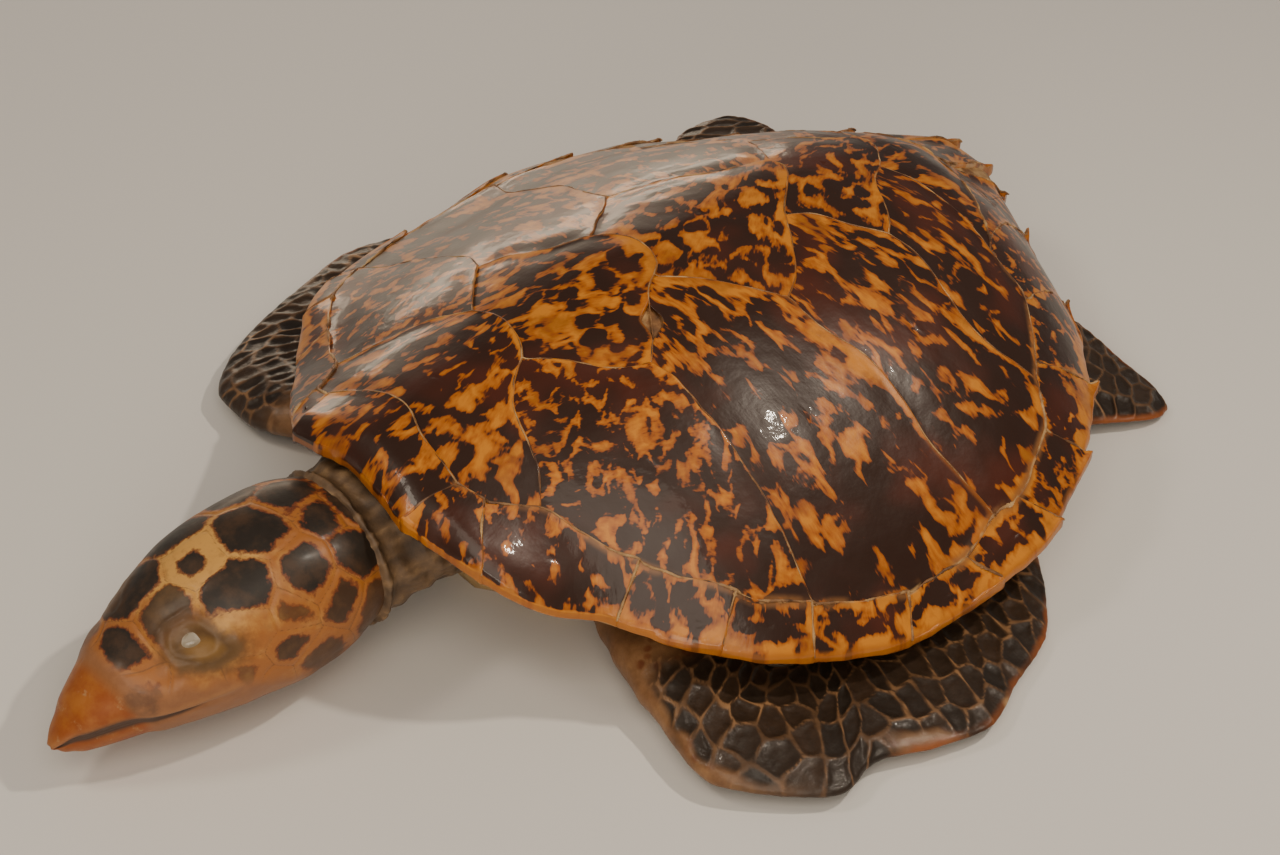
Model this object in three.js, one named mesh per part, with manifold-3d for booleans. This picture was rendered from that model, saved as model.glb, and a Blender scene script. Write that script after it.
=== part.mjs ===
import * as THREE from 'three';
import { mergeVertices } from 'three/addons/utils/BufferGeometryUtils.js';
import Module from 'manifold-3d';

// A preserved sea turtle, lying on its lower shell: millimetres, +Z up, head towards -Y,
// the animal's left on +X. The origin is on the ground under the middle of the upper shell.

const wasm = await Module();
wasm.setup();

// Driving dimensions
const shellLength = 420;
const frontY = -shellLength / 2;
const rearY = shellLength / 2;
const contactGap = 0.3; // between pieces that touch
const rimThickness = 4;
const scuteDepth = 4; // from a scute's face down into the bone
const scuteLip = 1.8; // how far a scute's rear edge stands over the next
const scuteFrontLift = 0.2;
const boneInset = 0.9; // bone surface under the scutes
const boneReach = 0.97; // share of the half width that the bone fills
const rightFall = 1.5; // exponent of the right side's section; the left side has 2
const warpFrontY = 130;
const warpWidth = 45;
const warpBack = 21;
const warpUp = 7;
const seamStep = 17; // longest edge along a seam
const seamOverlap = 0.5; // neighbouring scutes run into each other by this much
const plastronThickness = 12;
const bendHeight = 4; // where the flat underside has turned up into the side
const bridgeFrontY = -92; // the lower shell rises to the margin between these two
const bridgeRearY = 78;
const neckBaseY = -186;
const headRearY = -214;

// Upper shell: [y, half width] on each side, [y, height] of the margin, the keel and the neck's arch
const leftWidth = smoothCurve([
  [-210, 41], [-193, 85], [-160, 114], [-105, 168], [-42, 190],
  [21, 193], [84, 172], [147, 121], [189, 55], [210, 9],
]);
const rightWidth = smoothCurve([
  [-210, 36], [-193, 62], [-160, 106], [-105, 164], [-42, 186],
  [21, 188], [84, 165], [147, 115], [189, 52], [210, 9],
]);
const marginHeight = smoothCurve([
  [-210, 97], [-172, 63], [-126, 43], [-42, 30], [42, 40], [126, 51], [210, 53],
]);
const keelHeight = smoothCurve([[-210, 100], [-126, 117], [-42, 135], [42, 134], [126, 120], [210, 58]]);
const neckArch = smoothCurve([[-210, 4], [-186, 16], [-140, 8], [-100, 0]]);

// Seams between scutes as [x, y], from front to rear or from right to left
const seams = {
  nuchal: [[-46, -183], [-24, -177], [0, -175], [20, -181], [46, -184]],
  v12: [[-28, -115], [-10, -113], [8, -118], [16, -123]],
  v23: [[-23, -50], [-12, -43], [6, -41], [15, -44], [21, -51]],
  v34: [[-18, 60], [-6, 58], [5, 49], [22, 31]],
  v45: [[-18, 122], [-6, 120], [5, 112], [15, 103]],
  left: {
    v1c1: [[72, -160], [58, -151], [34, -143], [23, -134], [16, -123]],
    v2c1: [[16, -123], [28, -112], [47, -98], [56, -84]],
    v2c2: [[56, -84], [41, -69], [28, -60], [21, -51]],
    v3c2: [[21, -51], [34, -34], [62, -7]],
    v3c3: [[62, -7], [54, 6], [38, 20], [22, 31]],
    v4c3: [[22, 31], [29, 43], [43, 53], [56, 66]],
    v4c4: [[56, 66], [43, 80], [24, 90], [15, 103]],
    v5c4: [[15, 103], [31, 113], [58, 118], [82, 117]],
    c12: [[56, -84], [73, -79], [115, -78], [161, -82]],
    c23: [[62, -7], [82, -3], [110, 7], [144, 9], [175, 18]],
    c34: [[56, 66], [72, 71], [110, 69], [139, 85]],
  },
  right: {
    v1c1: [[-72, -160], [-62, -148], [-45, -126], [-28, -115]],
    v2c1: [[-28, -115], [-45, -101], [-61, -86]],
    v2c2: [[-61, -86], [-49, -74], [-32, -65], [-23, -50]],
    v3c2: [[-23, -50], [-38, -32], [-58, -8]],
    v3c3: [[-58, -8], [-48, 13], [-29, 34], [-18, 60]],
    v4c3: [[-18, 60], [-34, 70], [-56, 82]],
    v4c4: [[-56, 82], [-42, 97], [-24, 108], [-18, 122]],
    v5c4: [[-18, 122], [-38, 124], [-60, 121], [-82, 117]],
    c12: [[-61, -86], [-75, -79], [-115, -78], [-161, -82]],
    c23: [[-58, -8], [-82, -3], [-110, 7], [-144, 9], [-175, 18]],
    c34: [[-56, 82], [-76, 80], [-110, 76], [-139, 85]],
  },
};

// Inner line of the marginal scutes on one side, from the nuchal scute to the tail
const innerLine = [
  [46, -184], [58, -179], [72, -160], [90, -151], [110, -137], [142, -110], [161, -82], [172, -57],
  [177, -40], [180, -4], [175, 18], [174, 35], [156, 73], [139, 85], [131, 94], [102, 115],
  [82, 117], [70, 125], [41, 145], [0, 158],
];
const innerEnds = [0, 1, 4, 5, 6, 8, 9, 11, 12, 14, 15, 17, 19]; // points where marginal seams meet it
const outerEndsLeft = [-210, -197, -156, -126, -92, -48, 8, 52, 92, 131, 171, 199, 210];
const outerEndsRight = [-210, -197, -155, -126, -94, -31, 35, 71, 111, 141, 173, 199, 210];
const tipLength = [0, 0, 0.5, 1, 1.5, 2, 3, 3.5, 4, 4.5, 5, 5]; // points of the saw edge, front to rear

// Lower shell: [y, half width of the flat underside], [y, half width at the top]
const plastronFoot = smoothCurve([[-150, 16], [-126, 50], [-80, 86], [60, 86], [120, 60], [172, 20]]);
const plastronTop = smoothCurve([
  [-150, 26], [-126, 62], [-92, 104], [-30, 152], [50, 150], [120, 78], [172, 32],
]);

// Skin between the shells: [y, half width at mid height]
const shoulderWidth = smoothCurve([[-186, 38], [-162, 42], [-92, 96]]);
const shoulderFloor = smoothCurve([[-186, 36], [-165, 34], [-142, 16], [-92, 13]]);
const hipWidth = smoothCurve([[78, 104], [130, 84], [176, 40]]);
const hipFloor = smoothCurve([[78, 13], [176, 13]]);

// Head and neck sections from the beak back: [x, y, z, half width, rise, drop]
const headSections = [
  [-1, -361, 22, 2, 2, 2],
  [-1, -356, 25, 7, 7, 9],
  [-1, -344, 31, 14, 13, 16],
  [-1, -326, 38, 22, 20, 23],
  [-1, -304, 44, 31, 28, 28],
  [-1, -280, 48, 38, 34, 32],
  [0, -254, 50, 41, 37, 35],
  [0, -232, 52, 40, 34, 36],
  [0, headRearY, 53, 36, 28, 35],
];
const neckSections = [
  [0, headRearY + contactGap, 53, 36, 27, 35],
  [0, -203, 54, 35, 25, 32],
  [0, -194, 55, 36, 23, 28],
  [0, neckBaseY - contactGap, 56, 39, 22, 26],
];

// Flipper sections from root to tip: [leading x, y], [trailing x, y], thickness, height of the middle
const frontFlipperLeft = [
  [[62, -128], [84, -66], 30, 18],
  [[107, -145], [112, -80], 28, 16],
  [[143, -154], [134, -90], 24, 14],
  [[176, -160], [146, -92], 20, 12],
  [[204, -142], [152, -84], 17, 10],
  [[221, -117], [155, -72], 15, 9],
  [[217, -97], [156, -60], 14, 9],
  [[228, -67], [157, -42], 12, 8],
  [[234, -42], [158, -18], 11, 8],
  [[223, -11], [159, 6], 9, 7],
  [[212, 21], [160, 28], 8, 6],
  [[191, 46], [163, 46], 6, 5],
  [[172, 63], [169, 60], 3, 4],
];
const frontFlipperRight = [
  [[-62, -128], [-84, -66], 30, 18],
  [[-103, -152], [-112, -80], 28, 16],
  [[-138, -169], [-132, -90], 24, 14],
  [[-162, -167], [-146, -92], 20, 12],
  [[-184, -149], [-152, -84], 17, 10],
  [[-199, -126], [-155, -72], 15, 9],
  [[-210, -100], [-156, -58], 14, 9],
  [[-220, -72], [-157, -42], 12, 8],
  [[-229, -40], [-158, -18], 11, 8],
  [[-226, -8], [-159, 6], 9, 7],
  [[-214, 21], [-160, 28], 8, 6],
  [[-193, 46], [-163, 46], 6, 5],
  [[-174, 63], [-170, 60], 3, 4],
];
const rearFlipperLeft = [
  [[100, 92], [48, 132], 28, 17],
  [[112, 122], [46, 172], 22, 13],
  [[122, 146], [52, 206], 16, 10],
  [[130, 164], [66, 219], 12, 8],
  [[138, 178], [98, 213], 9, 7],
  [[142, 192], [120, 211], 6, 5],
  [[140, 201], [134, 206], 3, 4],
];
const rearFlipperRight = [
  [[-104, 88], [-58, 128], 28, 17],
  [[-128, 112], [-74, 156], 22, 13],
  [[-150, 130], [-96, 186], 17, 10],
  [[-172, 150], [-126, 208], 14, 9],
  [[-194, 167], [-156, 220], 12, 9],
  [[-205, 185], [-176, 230], 9, 8],
  [[-208, 206], [-190, 231], 6, 6],
  [[-206, 219], [-200, 227], 3, 5],
];

// Cubic through the points that never overshoots them
function smoothCurve(points) {
  const gaps = [];
  const slopes = [];
  for (let i = 0; i + 1 < points.length; i += 1) {
    gaps.push(points[i + 1][0] - points[i][0]);
    slopes.push((points[i + 1][1] - points[i][1]) / gaps[i]);
  }
  const tangents = points.map((point, i) => {
    if (i === 0) return slopes[0];
    if (i === points.length - 1) return slopes[i - 1];
    if (slopes[i - 1] * slopes[i] <= 0) return 0;
    return (2 * slopes[i - 1] * slopes[i]) / (slopes[i - 1] + slopes[i]);
  });
  return (at) => {
    const v = THREE.MathUtils.clamp(at, points[0][0], points[points.length - 1][0]);
    let i = 0;
    while (i + 2 < points.length && v > points[i + 1][0]) i += 1;
    const u = (v - points[i][0]) / gaps[i];
    const rise = points[i + 1][1] - points[i][1];
    const a = gaps[i] * tangents[i] - rise;
    const b = rise - gaps[i] * tangents[i + 1];
    return points[i][1] + rise * u + u * (1 - u) * (a * (1 - u) + b * u);
  };
}

function halfWidth(side, y) {
  return side > 0 ? leftWidth(y) : rightWidth(y);
}

// Height of the shell's face over a point of the plan; the right side falls away sooner
function shellHeight(x, y) {
  const share = Math.min(Math.abs(x) / halfWidth(x, y), 1);
  const fall = share ** (x > 0 ? 2 : rightFall);
  return marginHeight(y) + (keelHeight(y) - marginHeight(y)) * (1 - fall);
}

// The dried shell is drawn back and up at its right rear corner
function warpPoint([x, y, z]) {
  const rightward = THREE.MathUtils.clamp(0.2 - x / warpWidth, 0, 1);
  const amount = THREE.MathUtils.smoothstep(y, warpFrontY, rearY) * rightward;
  return [x, y + warpBack * amount, z + warpUp * amount];
}

function shellUnderside(x, y) {
  const share = Math.min(Math.abs(x) / halfWidth(x, y), 1);
  return marginHeight(y) - rimThickness + neckArch(y) * (1 - share * share);
}

function geometryFrom(positions, faces) {
  const geometry = new THREE.BufferGeometry();
  geometry.setAttribute('position', new THREE.Float32BufferAttribute(positions.flat(), 3));
  geometry.setIndex(faces.flat());
  return geometry;
}

// Signed volume, to turn a body whose faces point inwards
function turnOutwards(positions, faces) {
  const volume = faces.reduce((sum, [i, j, k]) => {
    const [a, b, c] = [positions[i], positions[j], positions[k]];
    return sum + a[0] * (b[1] * c[2] - b[2] * c[1])
      + a[1] * (b[2] * c[0] - b[0] * c[2]) + a[2] * (b[0] * c[1] - b[1] * c[0]);
  }, 0);
  return volume < 0 ? faces.map(([i, j, k]) => [i, k, j]) : faces;
}

// Closed body through rings of equal length, with a fan over each end
function loft(rings) {
  const count = rings[0].length;
  const positions = rings.flat();
  const faces = [];
  for (let r = 0; r + 1 < rings.length; r += 1) {
    for (let i = 0; i < count; i += 1) {
      const j = (i + 1) % count;
      const [a, b] = [r * count + i, r * count + j];
      faces.push([a, b, a + count], [b, b + count, a + count]);
    }
  }
  [0, rings.length - 1].forEach((r) => {
    const middle = positions.length;
    positions.push([0, 1, 2].map((k) => rings[r].reduce((sum, p) => sum + p[k], 0) / count));
    for (let i = 0; i < count; i += 1) {
      const [a, b] = [r * count + i, r * count + ((i + 1) % count)];
      faces.push(r === 0 ? [b, a, middle] : [a, b, middle]);
    }
  });
  return geometryFrom(positions, turnOutwards(positions, faces));
}

// A closed body for joining and cutting, with its shared vertices merged
function toSolid(geometry) {
  const plain = geometry.clone();
  plain.deleteAttribute('normal');
  plain.deleteAttribute('uv');
  const merged = mergeVertices(plain);
  return new wasm.Manifold(new wasm.Mesh({
    numProp: 3,
    vertProperties: new Float32Array(merged.attributes.position.array),
    triVerts: new Uint32Array(merged.index.array),
  }));
}

function toGeometry(solid) {
  const mesh = solid.getMesh();
  const geometry = new THREE.BufferGeometry();
  geometry.setAttribute('position', new THREE.BufferAttribute(mesh.vertProperties, 3));
  geometry.setIndex(new THREE.BufferAttribute(mesh.triVerts, 1));
  return geometry;
}

// Extra points on the long edges of a closed outline
function divideOutline(points, step) {
  return points.flatMap((point, i) => {
    const next = points[(i + 1) % points.length];
    const parts = Math.ceil(Math.hypot(next[0] - point[0], next[1] - point[1]) / step);
    return Array.from({ length: parts }, (_, k) => [
      THREE.MathUtils.lerp(point[0], next[0], k / parts),
      THREE.MathUtils.lerp(point[1], next[1], k / parts),
    ]);
  });
}

// One horny plate: its face climbs from the front edge to a proud rear edge
function scute(outline, ringShares = [0.5]) {
  const divided = divideOutline(outline, seamStep);
  const middle = [0, 1].map((k) => divided.reduce((sum, p) => sum + p[k], 0) / divided.length);
  const edge = divided.map(([x, y]) => {
    const growth = 1 + seamOverlap / Math.hypot(x - middle[0], y - middle[1]);
    return [middle[0] + growth * (x - middle[0]), middle[1] + growth * (y - middle[1])];
  });
  const front = Math.min(...edge.map((p) => p[1]));
  const length = Math.max(...edge.map((p) => p[1])) - front;
  const lift = (y) => scuteFrontLift + (scuteLip * (y - front)) / length;
  const face = ([x, y]) => [x, y, shellHeight(x, y) + lift(y)];
  const under = ([x, y]) => [x, y, shellHeight(x, y) - scuteDepth];
  const ring = (share) => edge.map(([x, y]) => [
    middle[0] + share * (x - middle[0]),
    middle[1] + share * (y - middle[1]),
  ]);
  const rings = [...ringShares.map(ring), edge];
  const positions = [...rings.flat().map(face), ...edge.map(under), face(middle), under(middle)].map(warpPoint);
  const count = edge.length;
  const [top, bottom] = [positions.length - 2, positions.length - 1];
  const faces = [];
  for (let i = 0; i < count; i += 1) {
    const j = (i + 1) % count;
    faces.push([top, i, j]);
    for (let r = 0; r < rings.length; r += 1) {
      const [a, b] = [r * count + i, r * count + j];
      faces.push([a, a + count, b], [b, a + count, b + count]);
    }
    faces.push([bottom, rings.length * count + j, rings.length * count + i]);
  }
  return toSolid(geometryFrom(positions, turnOutwards(positions, faces)));
}

// Outlines joined from seams, each walked forwards, or backwards where marked
function joinSeams(...parts) {
  return parts.flatMap(([seam, backwards]) => (backwards ? [...seam].reverse() : seam).slice(0, -1));
}

function mirrorAcross(points, side) {
  return points.map(([x, y]) => [side * x, y]);
}

// A scute between a front and a rear seam, with its left and right borders from front to rear
function outlineBetween(front, rear, leftSeams, rightSeams) {
  const down = leftSeams.map((seam) => [seam]);
  const up = [...rightSeams].reverse().map((seam) => [seam, true]);
  return joinSeams([front], ...down, [rear, true], ...up);
}

function vertebralScutes() {
  const { left, right } = seams;
  const innerLeft = innerLine.slice(0, 3);
  const innerRight = mirrorAcross(innerLeft, -1);
  const tailLeft = innerLine.slice(16);
  const tailRight = mirrorAcross(tailLeft, -1);
  return [
    outlineBetween(seams.nuchal, seams.v12, [innerLeft, left.v1c1], [innerRight, right.v1c1]),
    outlineBetween(seams.v12, seams.v23, [left.v2c1, left.v2c2], [right.v2c1, right.v2c2]),
    outlineBetween(seams.v23, seams.v34, [left.v3c2, left.v3c3], [right.v3c2, right.v3c3]),
    outlineBetween(seams.v34, seams.v45, [left.v4c3, left.v4c4], [right.v4c3, right.v4c4]),
    joinSeams([seams.v45], [left.v5c4], [tailLeft], [tailRight, true], [right.v5c4, true]),
  ];
}

function costalScutes(seam, side) {
  const line = mirrorAcross(innerLine, side);
  return [
    joinSeams([seam.v1c1], [seam.v2c1], [seam.c12], [line.slice(2, 7), true]),
    joinSeams([seam.c12, true], [seam.v2c2], [seam.v3c2], [seam.c23], [line.slice(6, 11), true]),
    joinSeams([seam.c23, true], [seam.v3c3], [seam.v4c3], [seam.c34], [line.slice(10, 14), true]),
    joinSeams([seam.c34, true], [seam.v4c4], [seam.v5c4], [line.slice(13, 17), true]),
  ];
}

// The saw edge: each marginal scute ends in a point that stands off the smooth outline
function marginalScutes(outerEnds, side) {
  return tipLength.map((tip, i) => {
    const [from, to] = [outerEnds[i], outerEnds[i + 1]];
    const along = [0, 0.35, 0.7].map((share) => THREE.MathUtils.lerp(from, to, share));
    const slope = halfWidth(side, to) - halfWidth(side, to - 1);
    const normal = new THREE.Vector2(1, -slope).normalize();
    const point = [
      halfWidth(side, to) + tip * (normal.x - 0.5 * normal.y),
      to + tip * (normal.y + 0.5 * normal.x),
    ];
    const outer = along.map((y, k) => [halfWidth(side, y) + tip * [-0.1, 0.2, 0.6][k] * normal.x, y]);
    const inner = innerLine.slice(innerEnds[i], innerEnds[i + 1] + 1).reverse();
    return mirrorAcross([...outer, point, ...inner], side);
  });
}

function nuchalScute() {
  const front = [[-36, frontY], [-18, frontY + 2], [0, frontY + 3], [20, frontY + 2], [41, frontY]];
  return [...front, ...[...seams.nuchal].reverse()];
}

// Bone and body under the scutes: domed above, level across below
function shellBone(growth = 0) {
  const rows = [];
  const rowCount = 20;
  for (let k = 0; k <= rowCount; k += 1) {
    const y = THREE.MathUtils.lerp(frontY + 3 - growth, rearY - 3 + growth, k / rowCount);
    const across = (share) => share * halfWidth(share, y) * boneReach;
    const top = [];
    for (let i = 0; i <= 12; i += 1) {
      const x = across(Math.sin(((i / 12) * 2 - 1) * Math.PI / 2));
      top.push([x, y, shellHeight(x, y) - boneInset]);
    }
    const under = [1, 0.6, 0.25, 0, -0.25, -0.6, -1].map((share) => {
      const x = across(share);
      return [x, y, shellUnderside(x, y) - growth];
    });
    rows.push([...top, ...under].map(warpPoint));
  }
  return toSolid(loft(rows));
}

function carapace() {
  const scutes = [
    ...vertebralScutes().map((outline) => scute(outline, [0.35, 0.7])),
    ...costalScutes(seams.left, 1).map((outline) => scute(outline, [0.35, 0.7])),
    ...costalScutes(seams.right, -1).map((outline) => scute(outline, [0.35, 0.7])),
    ...marginalScutes(outerEndsLeft, 1).map((outline) => scute(outline)),
    ...marginalScutes(outerEndsRight, -1).map((outline) => scute(outline)),
    scute(nuchalScute()),
  ];
  return toGeometry(scutes.reduce((whole, plate) => whole.add(plate), shellBone()));
}

// Lower shell with a flat underside; its sides rise to the margin along the bridge
function plastron(growth = 0) {
  const row = (y, top) => {
    const [foot, rim] = [plastronFoot(y) + growth, plastronTop(y) + growth];
    const bend = THREE.MathUtils.lerp(foot, rim, 0.65);
    const edge = THREE.MathUtils.lerp(bend, rim, (top - bendHeight) / (marginHeight(y) - bendHeight));
    const rightSide = [[edge, y, top], [-edge, y, top], [-bend, y, bendHeight]];
    return [[-foot, y, 0], [foot, y, 0], [bend, y, bendHeight], ...rightSide];
  };
  const low = (y) => row(y, plastronThickness + growth);
  const high = (y) => row(y, marginHeight(y));
  return loft([
    ...[-150, -140, -126, -110, bridgeFrontY - growth - 0.5].map(low),
    ...[bridgeFrontY - growth, -66, -30, 8, 44, bridgeRearY + growth].map(high),
    ...[bridgeRearY + growth + 0.5, 104, 130, 154, 172].map(low),
  ]);
}

// Skin body between the shells over a stretch of y
function skinBody(width, floor, from, to, growth = 0) {
  const rows = [];
  const steps = 6;
  for (let k = 0; k <= steps; k += 1) {
    const y = THREE.MathUtils.lerp(from - growth, to + growth, k / steps);
    const [low, high] = [floor(y) - growth, marginHeight(y) + neckArch(y)];
    const w = width(y) + growth;
    rows.push([
      [-w * 0.86, y, low], [w * 0.86, y, low], [w, y, low * 0.6 + high * 0.4],
      [w * 0.94, y, high], [-w * 0.94, y, high], [-w, y, low * 0.6 + high * 0.4],
    ]);
  }
  return loft(rows);
}

// Flattened tube through [x, y, z, half width, rise, drop] sections
function bodyTube(sections, sides = 16) {
  return loft(sections.map(([x, y, z, half, rise, drop]) => {
    const ring = [];
    for (let i = 0; i < sides; i += 1) {
      const angle = (i / sides) * Math.PI * 2;
      const height = Math.sin(angle) > 0 ? rise : drop;
      const across = Math.sign(Math.cos(angle)) * Math.abs(Math.cos(angle)) ** 0.85;
      ring.push([x + half * across, y, z + height * Math.sin(angle)]);
    }
    return ring;
  }));
}

// Blade between a leading and a trailing edge, thickest a third of the way in
function flipper(sections, blockers) {
  const profile = [
    [0, 0], [0.08, 0.32], [0.3, 0.5], [0.62, 0.4], [0.9, 0.2],
    [1, 0], [0.9, -0.2], [0.62, -0.38], [0.3, -0.46], [0.08, -0.3],
  ];
  const ring = ([leading, trailing, thickness, height]) => profile.map(([share, lift]) => [
    THREE.MathUtils.lerp(leading[0], trailing[0], share),
    THREE.MathUtils.lerp(leading[1], trailing[1], share),
    Math.max(height + thickness * lift, 0),
  ]);
  const blade = loft(sections.map(ring));
  return toGeometry(blockers.reduce((whole, blocker) => whole.subtract(blocker), toSolid(blade)));
}

const shoulderSpan = [neckBaseY, bridgeFrontY - 0.5 - contactGap];
const hipSpan = [bridgeRearY + 0.5 + contactGap, 176];
const boneClearance = shellBone(contactGap);

const lowerShell = (growth = 0) => toSolid(plastron(growth));
const shoulders = (growth = 0) => toSolid(skinBody(shoulderWidth, shoulderFloor, ...shoulderSpan, growth));
const hips = (growth = 0) => toSolid(skinBody(hipWidth, hipFloor, ...hipSpan, growth));
const blockers = [lowerShell(contactGap), shoulders(contactGap), hips(contactGap), boneClearance];
const underBone = (solid) => toGeometry(solid.subtract(boneClearance));

const tailSections = [
  [0, 176 + contactGap, 24, 15, 11, 11],
  [0, 190, 20, 11, 9, 9],
  [0, 204, 16, 7, 6, 6],
  [0, 214, 13, 2, 2, 2],
];

const horn = { color: 0x9c5a22, roughness: 0.25, metalness: 0 };
const scaledSkin = { color: 0x3b2a22, roughness: 0.4, metalness: 0 };
const bareSkin = { color: 0x7a5f45, roughness: 0.6, metalness: 0 };
const paleHorn = { color: 0xc79a55, roughness: 0.4, metalness: 0 };

const pieces = [
  ['carapace', carapace(), horn],
  ['plastron', underBone(lowerShell()), paleHorn],
  ['shoulder_skin', underBone(shoulders()), bareSkin],
  ['hip_skin', underBone(hips()), bareSkin],
  ['neck', bodyTube(neckSections), bareSkin],
  ['head', bodyTube(headSections), scaledSkin],
  ['front_flipper_left', flipper(frontFlipperLeft, blockers), scaledSkin],
  ['front_flipper_right', flipper(frontFlipperRight, blockers), scaledSkin],
  ['rear_flipper_left', flipper(rearFlipperLeft, blockers), scaledSkin],
  ['rear_flipper_right', flipper(rearFlipperRight, blockers), scaledSkin],
  ['tail', bodyTube(tailSections, 10), scaledSkin],
];

const turtle = new THREE.Group();
pieces.forEach(([name, geometry, finish]) => {
  const mesh = new THREE.Mesh(geometry, new THREE.MeshStandardMaterial(finish));
  mesh.name = name;
  turtle.add(mesh);
});

export default turtle;
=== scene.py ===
import itertools
import bpy
import numpy as np
from mathutils import Matrix, Vector


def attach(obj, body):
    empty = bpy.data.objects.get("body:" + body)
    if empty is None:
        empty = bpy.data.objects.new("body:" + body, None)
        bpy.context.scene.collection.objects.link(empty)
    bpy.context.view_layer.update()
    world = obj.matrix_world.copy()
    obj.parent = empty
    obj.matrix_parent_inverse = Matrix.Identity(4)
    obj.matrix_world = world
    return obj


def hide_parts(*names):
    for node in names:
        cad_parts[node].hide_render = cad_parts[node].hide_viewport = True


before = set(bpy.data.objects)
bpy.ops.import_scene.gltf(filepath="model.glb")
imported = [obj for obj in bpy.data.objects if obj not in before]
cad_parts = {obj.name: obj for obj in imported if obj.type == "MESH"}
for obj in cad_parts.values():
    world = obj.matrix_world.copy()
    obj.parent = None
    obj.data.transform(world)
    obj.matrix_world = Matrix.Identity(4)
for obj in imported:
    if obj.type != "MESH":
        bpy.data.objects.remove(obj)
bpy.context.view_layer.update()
mm = 0.001  # shapes below are in millimetres, head towards -y, the animal's left on +x


# numbers and curves

def lerp(a, b, t):
    return a + (b - a) * t


def smoothStep(v, low, high):
    t = np.clip((v - low) / (high - low), 0, 1)
    return t * t * (3 - 2 * t)


def bell(v, width):
    return np.exp(-(v / width) ** 2)


def smoothCurve(points):  # cubic through the points that never overshoots them
    xs, ys = np.array(points, float).T
    gaps = np.diff(xs)
    slopes = np.diff(ys) / gaps
    product = slopes[:-1] * slopes[1:]
    total = np.where(product > 0, slopes[:-1] + slopes[1:], 1)
    inner = np.where(product > 0, 2 * product / total, 0)
    tangents = np.concatenate([slopes[:1], inner, slopes[-1:]])

    def at(v):
        v = np.clip(v, xs[0], xs[-1])
        i = np.clip(np.searchsorted(xs, v) - 1, 0, len(xs) - 2)
        u = (v - xs[i]) / gaps[i]
        rise = ys[i + 1] - ys[i]
        a = gaps[i] * tangents[i] - rise
        b = rise - gaps[i] * tangents[i + 1]
        return ys[i] + rise * u + u * (1 - u) * (a * (1 - u) + b * u)
    return at


cellFactors = (73856093, 19349663, 83492791)
seedFactor, lastFactor = 26544357, 12741261


def cellValue(cells, seed):  # the same number from 0 to 1 each time for a cell
    k = cells.astype(np.int64)
    mixed = seed * seedFactor
    for axis, factor in enumerate(cellFactors):
        mixed = mixed ^ (k[..., axis] * factor)
    mixed = ((mixed ^ (mixed >> 13)) * lastFactor) & 0x7FFFFFFF
    return ((mixed ^ (mixed >> 11)) & 0xFFFF) / 0xFFFF


def softNoise(points, size, seed=0):  # -1 to 1, with lumps about this size
    p = np.atleast_2d(points).astype(float) / size
    if p.shape[-1] == 2:
        p = np.concatenate([p, np.full(p.shape[:-1] + (1,), 0.37)], axis=-1)
    base = np.floor(p)
    f = p - base
    f = f * f * (3 - 2 * f)
    total = 0
    for corner in itertools.product((0, 1), repeat=3):
        share = np.prod(np.where(np.array(corner) == 1, f, 1 - f), axis=-1)
        total = total + share * cellValue(base + np.array(corner), seed)
    return 2 * total - 1


def noiseOf(points, form, seed):  # form: height and size of the lumps
    return form[0] * softNoise(points, form[1], seed)


def fineSegments(points, spacing):  # a smooth line through the points, as one array for each gap
    p = np.array(points, float)
    gaps = np.linalg.norm(np.diff(p, axis=0), axis=1)
    way = np.empty_like(p)
    way[0] = (p[1] - p[0]) / gaps[0]
    way[-1] = (p[-1] - p[-2]) / gaps[-1]
    way[1:-1] = (p[2:] - p[:-2]) / (gaps[:-1] + gaps[1:])[:, None]
    pieces = []
    for i, gap in enumerate(gaps):
        count = max(1, round(gap / spacing))
        t = (np.arange(count) / count)[:, None]
        a, b = p[i], p[i + 1]
        bend = gap * ((t ** 3 - 2 * t * t + t) * way[i] + (t ** 3 - t * t) * way[i + 1])
        pieces.append(a + (b - a) * (3 * t * t - 2 * t ** 3) + bend)
    return pieces + [p[-1:]]


def fineLine(points, spacing=1.6):
    return np.vstack(fineSegments(points, spacing))


# meshes

def tubeFaces(rows, cols):
    a = np.arange(rows - 1)[:, None] * cols + np.arange(cols)[None, :]
    b = np.arange(rows - 1)[:, None] * cols + (np.arange(cols)[None, :] + 1) % cols
    return np.stack([a, b, b + cols, a + cols], axis=-1).reshape(-1, 4)


def fanFaces(ring, centre):
    return np.stack([ring, np.roll(ring, -1), np.full(len(ring), centre)], axis=-1)


def endFans(rows, cols, first, last):  # first and last: the middle point of each end
    firstRing = np.arange(cols)[::-1]
    lastRing = np.arange(cols) + (rows - 1) * cols
    return np.vstack([fanFaces(firstRing, first), fanFaces(lastRing, last)])


def closedTube(rings, fields):  # rings: rows x cols x 3, and a fan over each end
    rows, cols = rings.shape[:2]
    points = np.vstack([rings.reshape(-1, 3), rings[0].mean(0), rings[-1].mean(0)])
    full = {}
    for name, value in fields.items():
        flat = value.reshape((rows * cols,) + value.shape[2:])
        full[name] = np.concatenate([flat, value[0].mean(0)[None], value[-1].mean(0)[None]])
    return points, tubeFaces(rows, cols), endFans(rows, cols, rows * cols, rows * cols + 1), full


def turnOutwards(points, quads, tris):
    corners = np.vstack([quads[:, [0, 1, 2]], quads[:, [0, 2, 3]], tris])
    a, b, c = points[corners[:, 0]], points[corners[:, 1]], points[corners[:, 2]]
    if np.einsum("ij,ij->", a, np.cross(b, c)) < 0:
        return quads[:, ::-1], tris[:, ::-1]
    return quads, tris


def putInScene(name, data):
    item = bpy.data.objects.new(name, data)
    bpy.context.scene.collection.objects.link(item)
    return item


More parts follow.
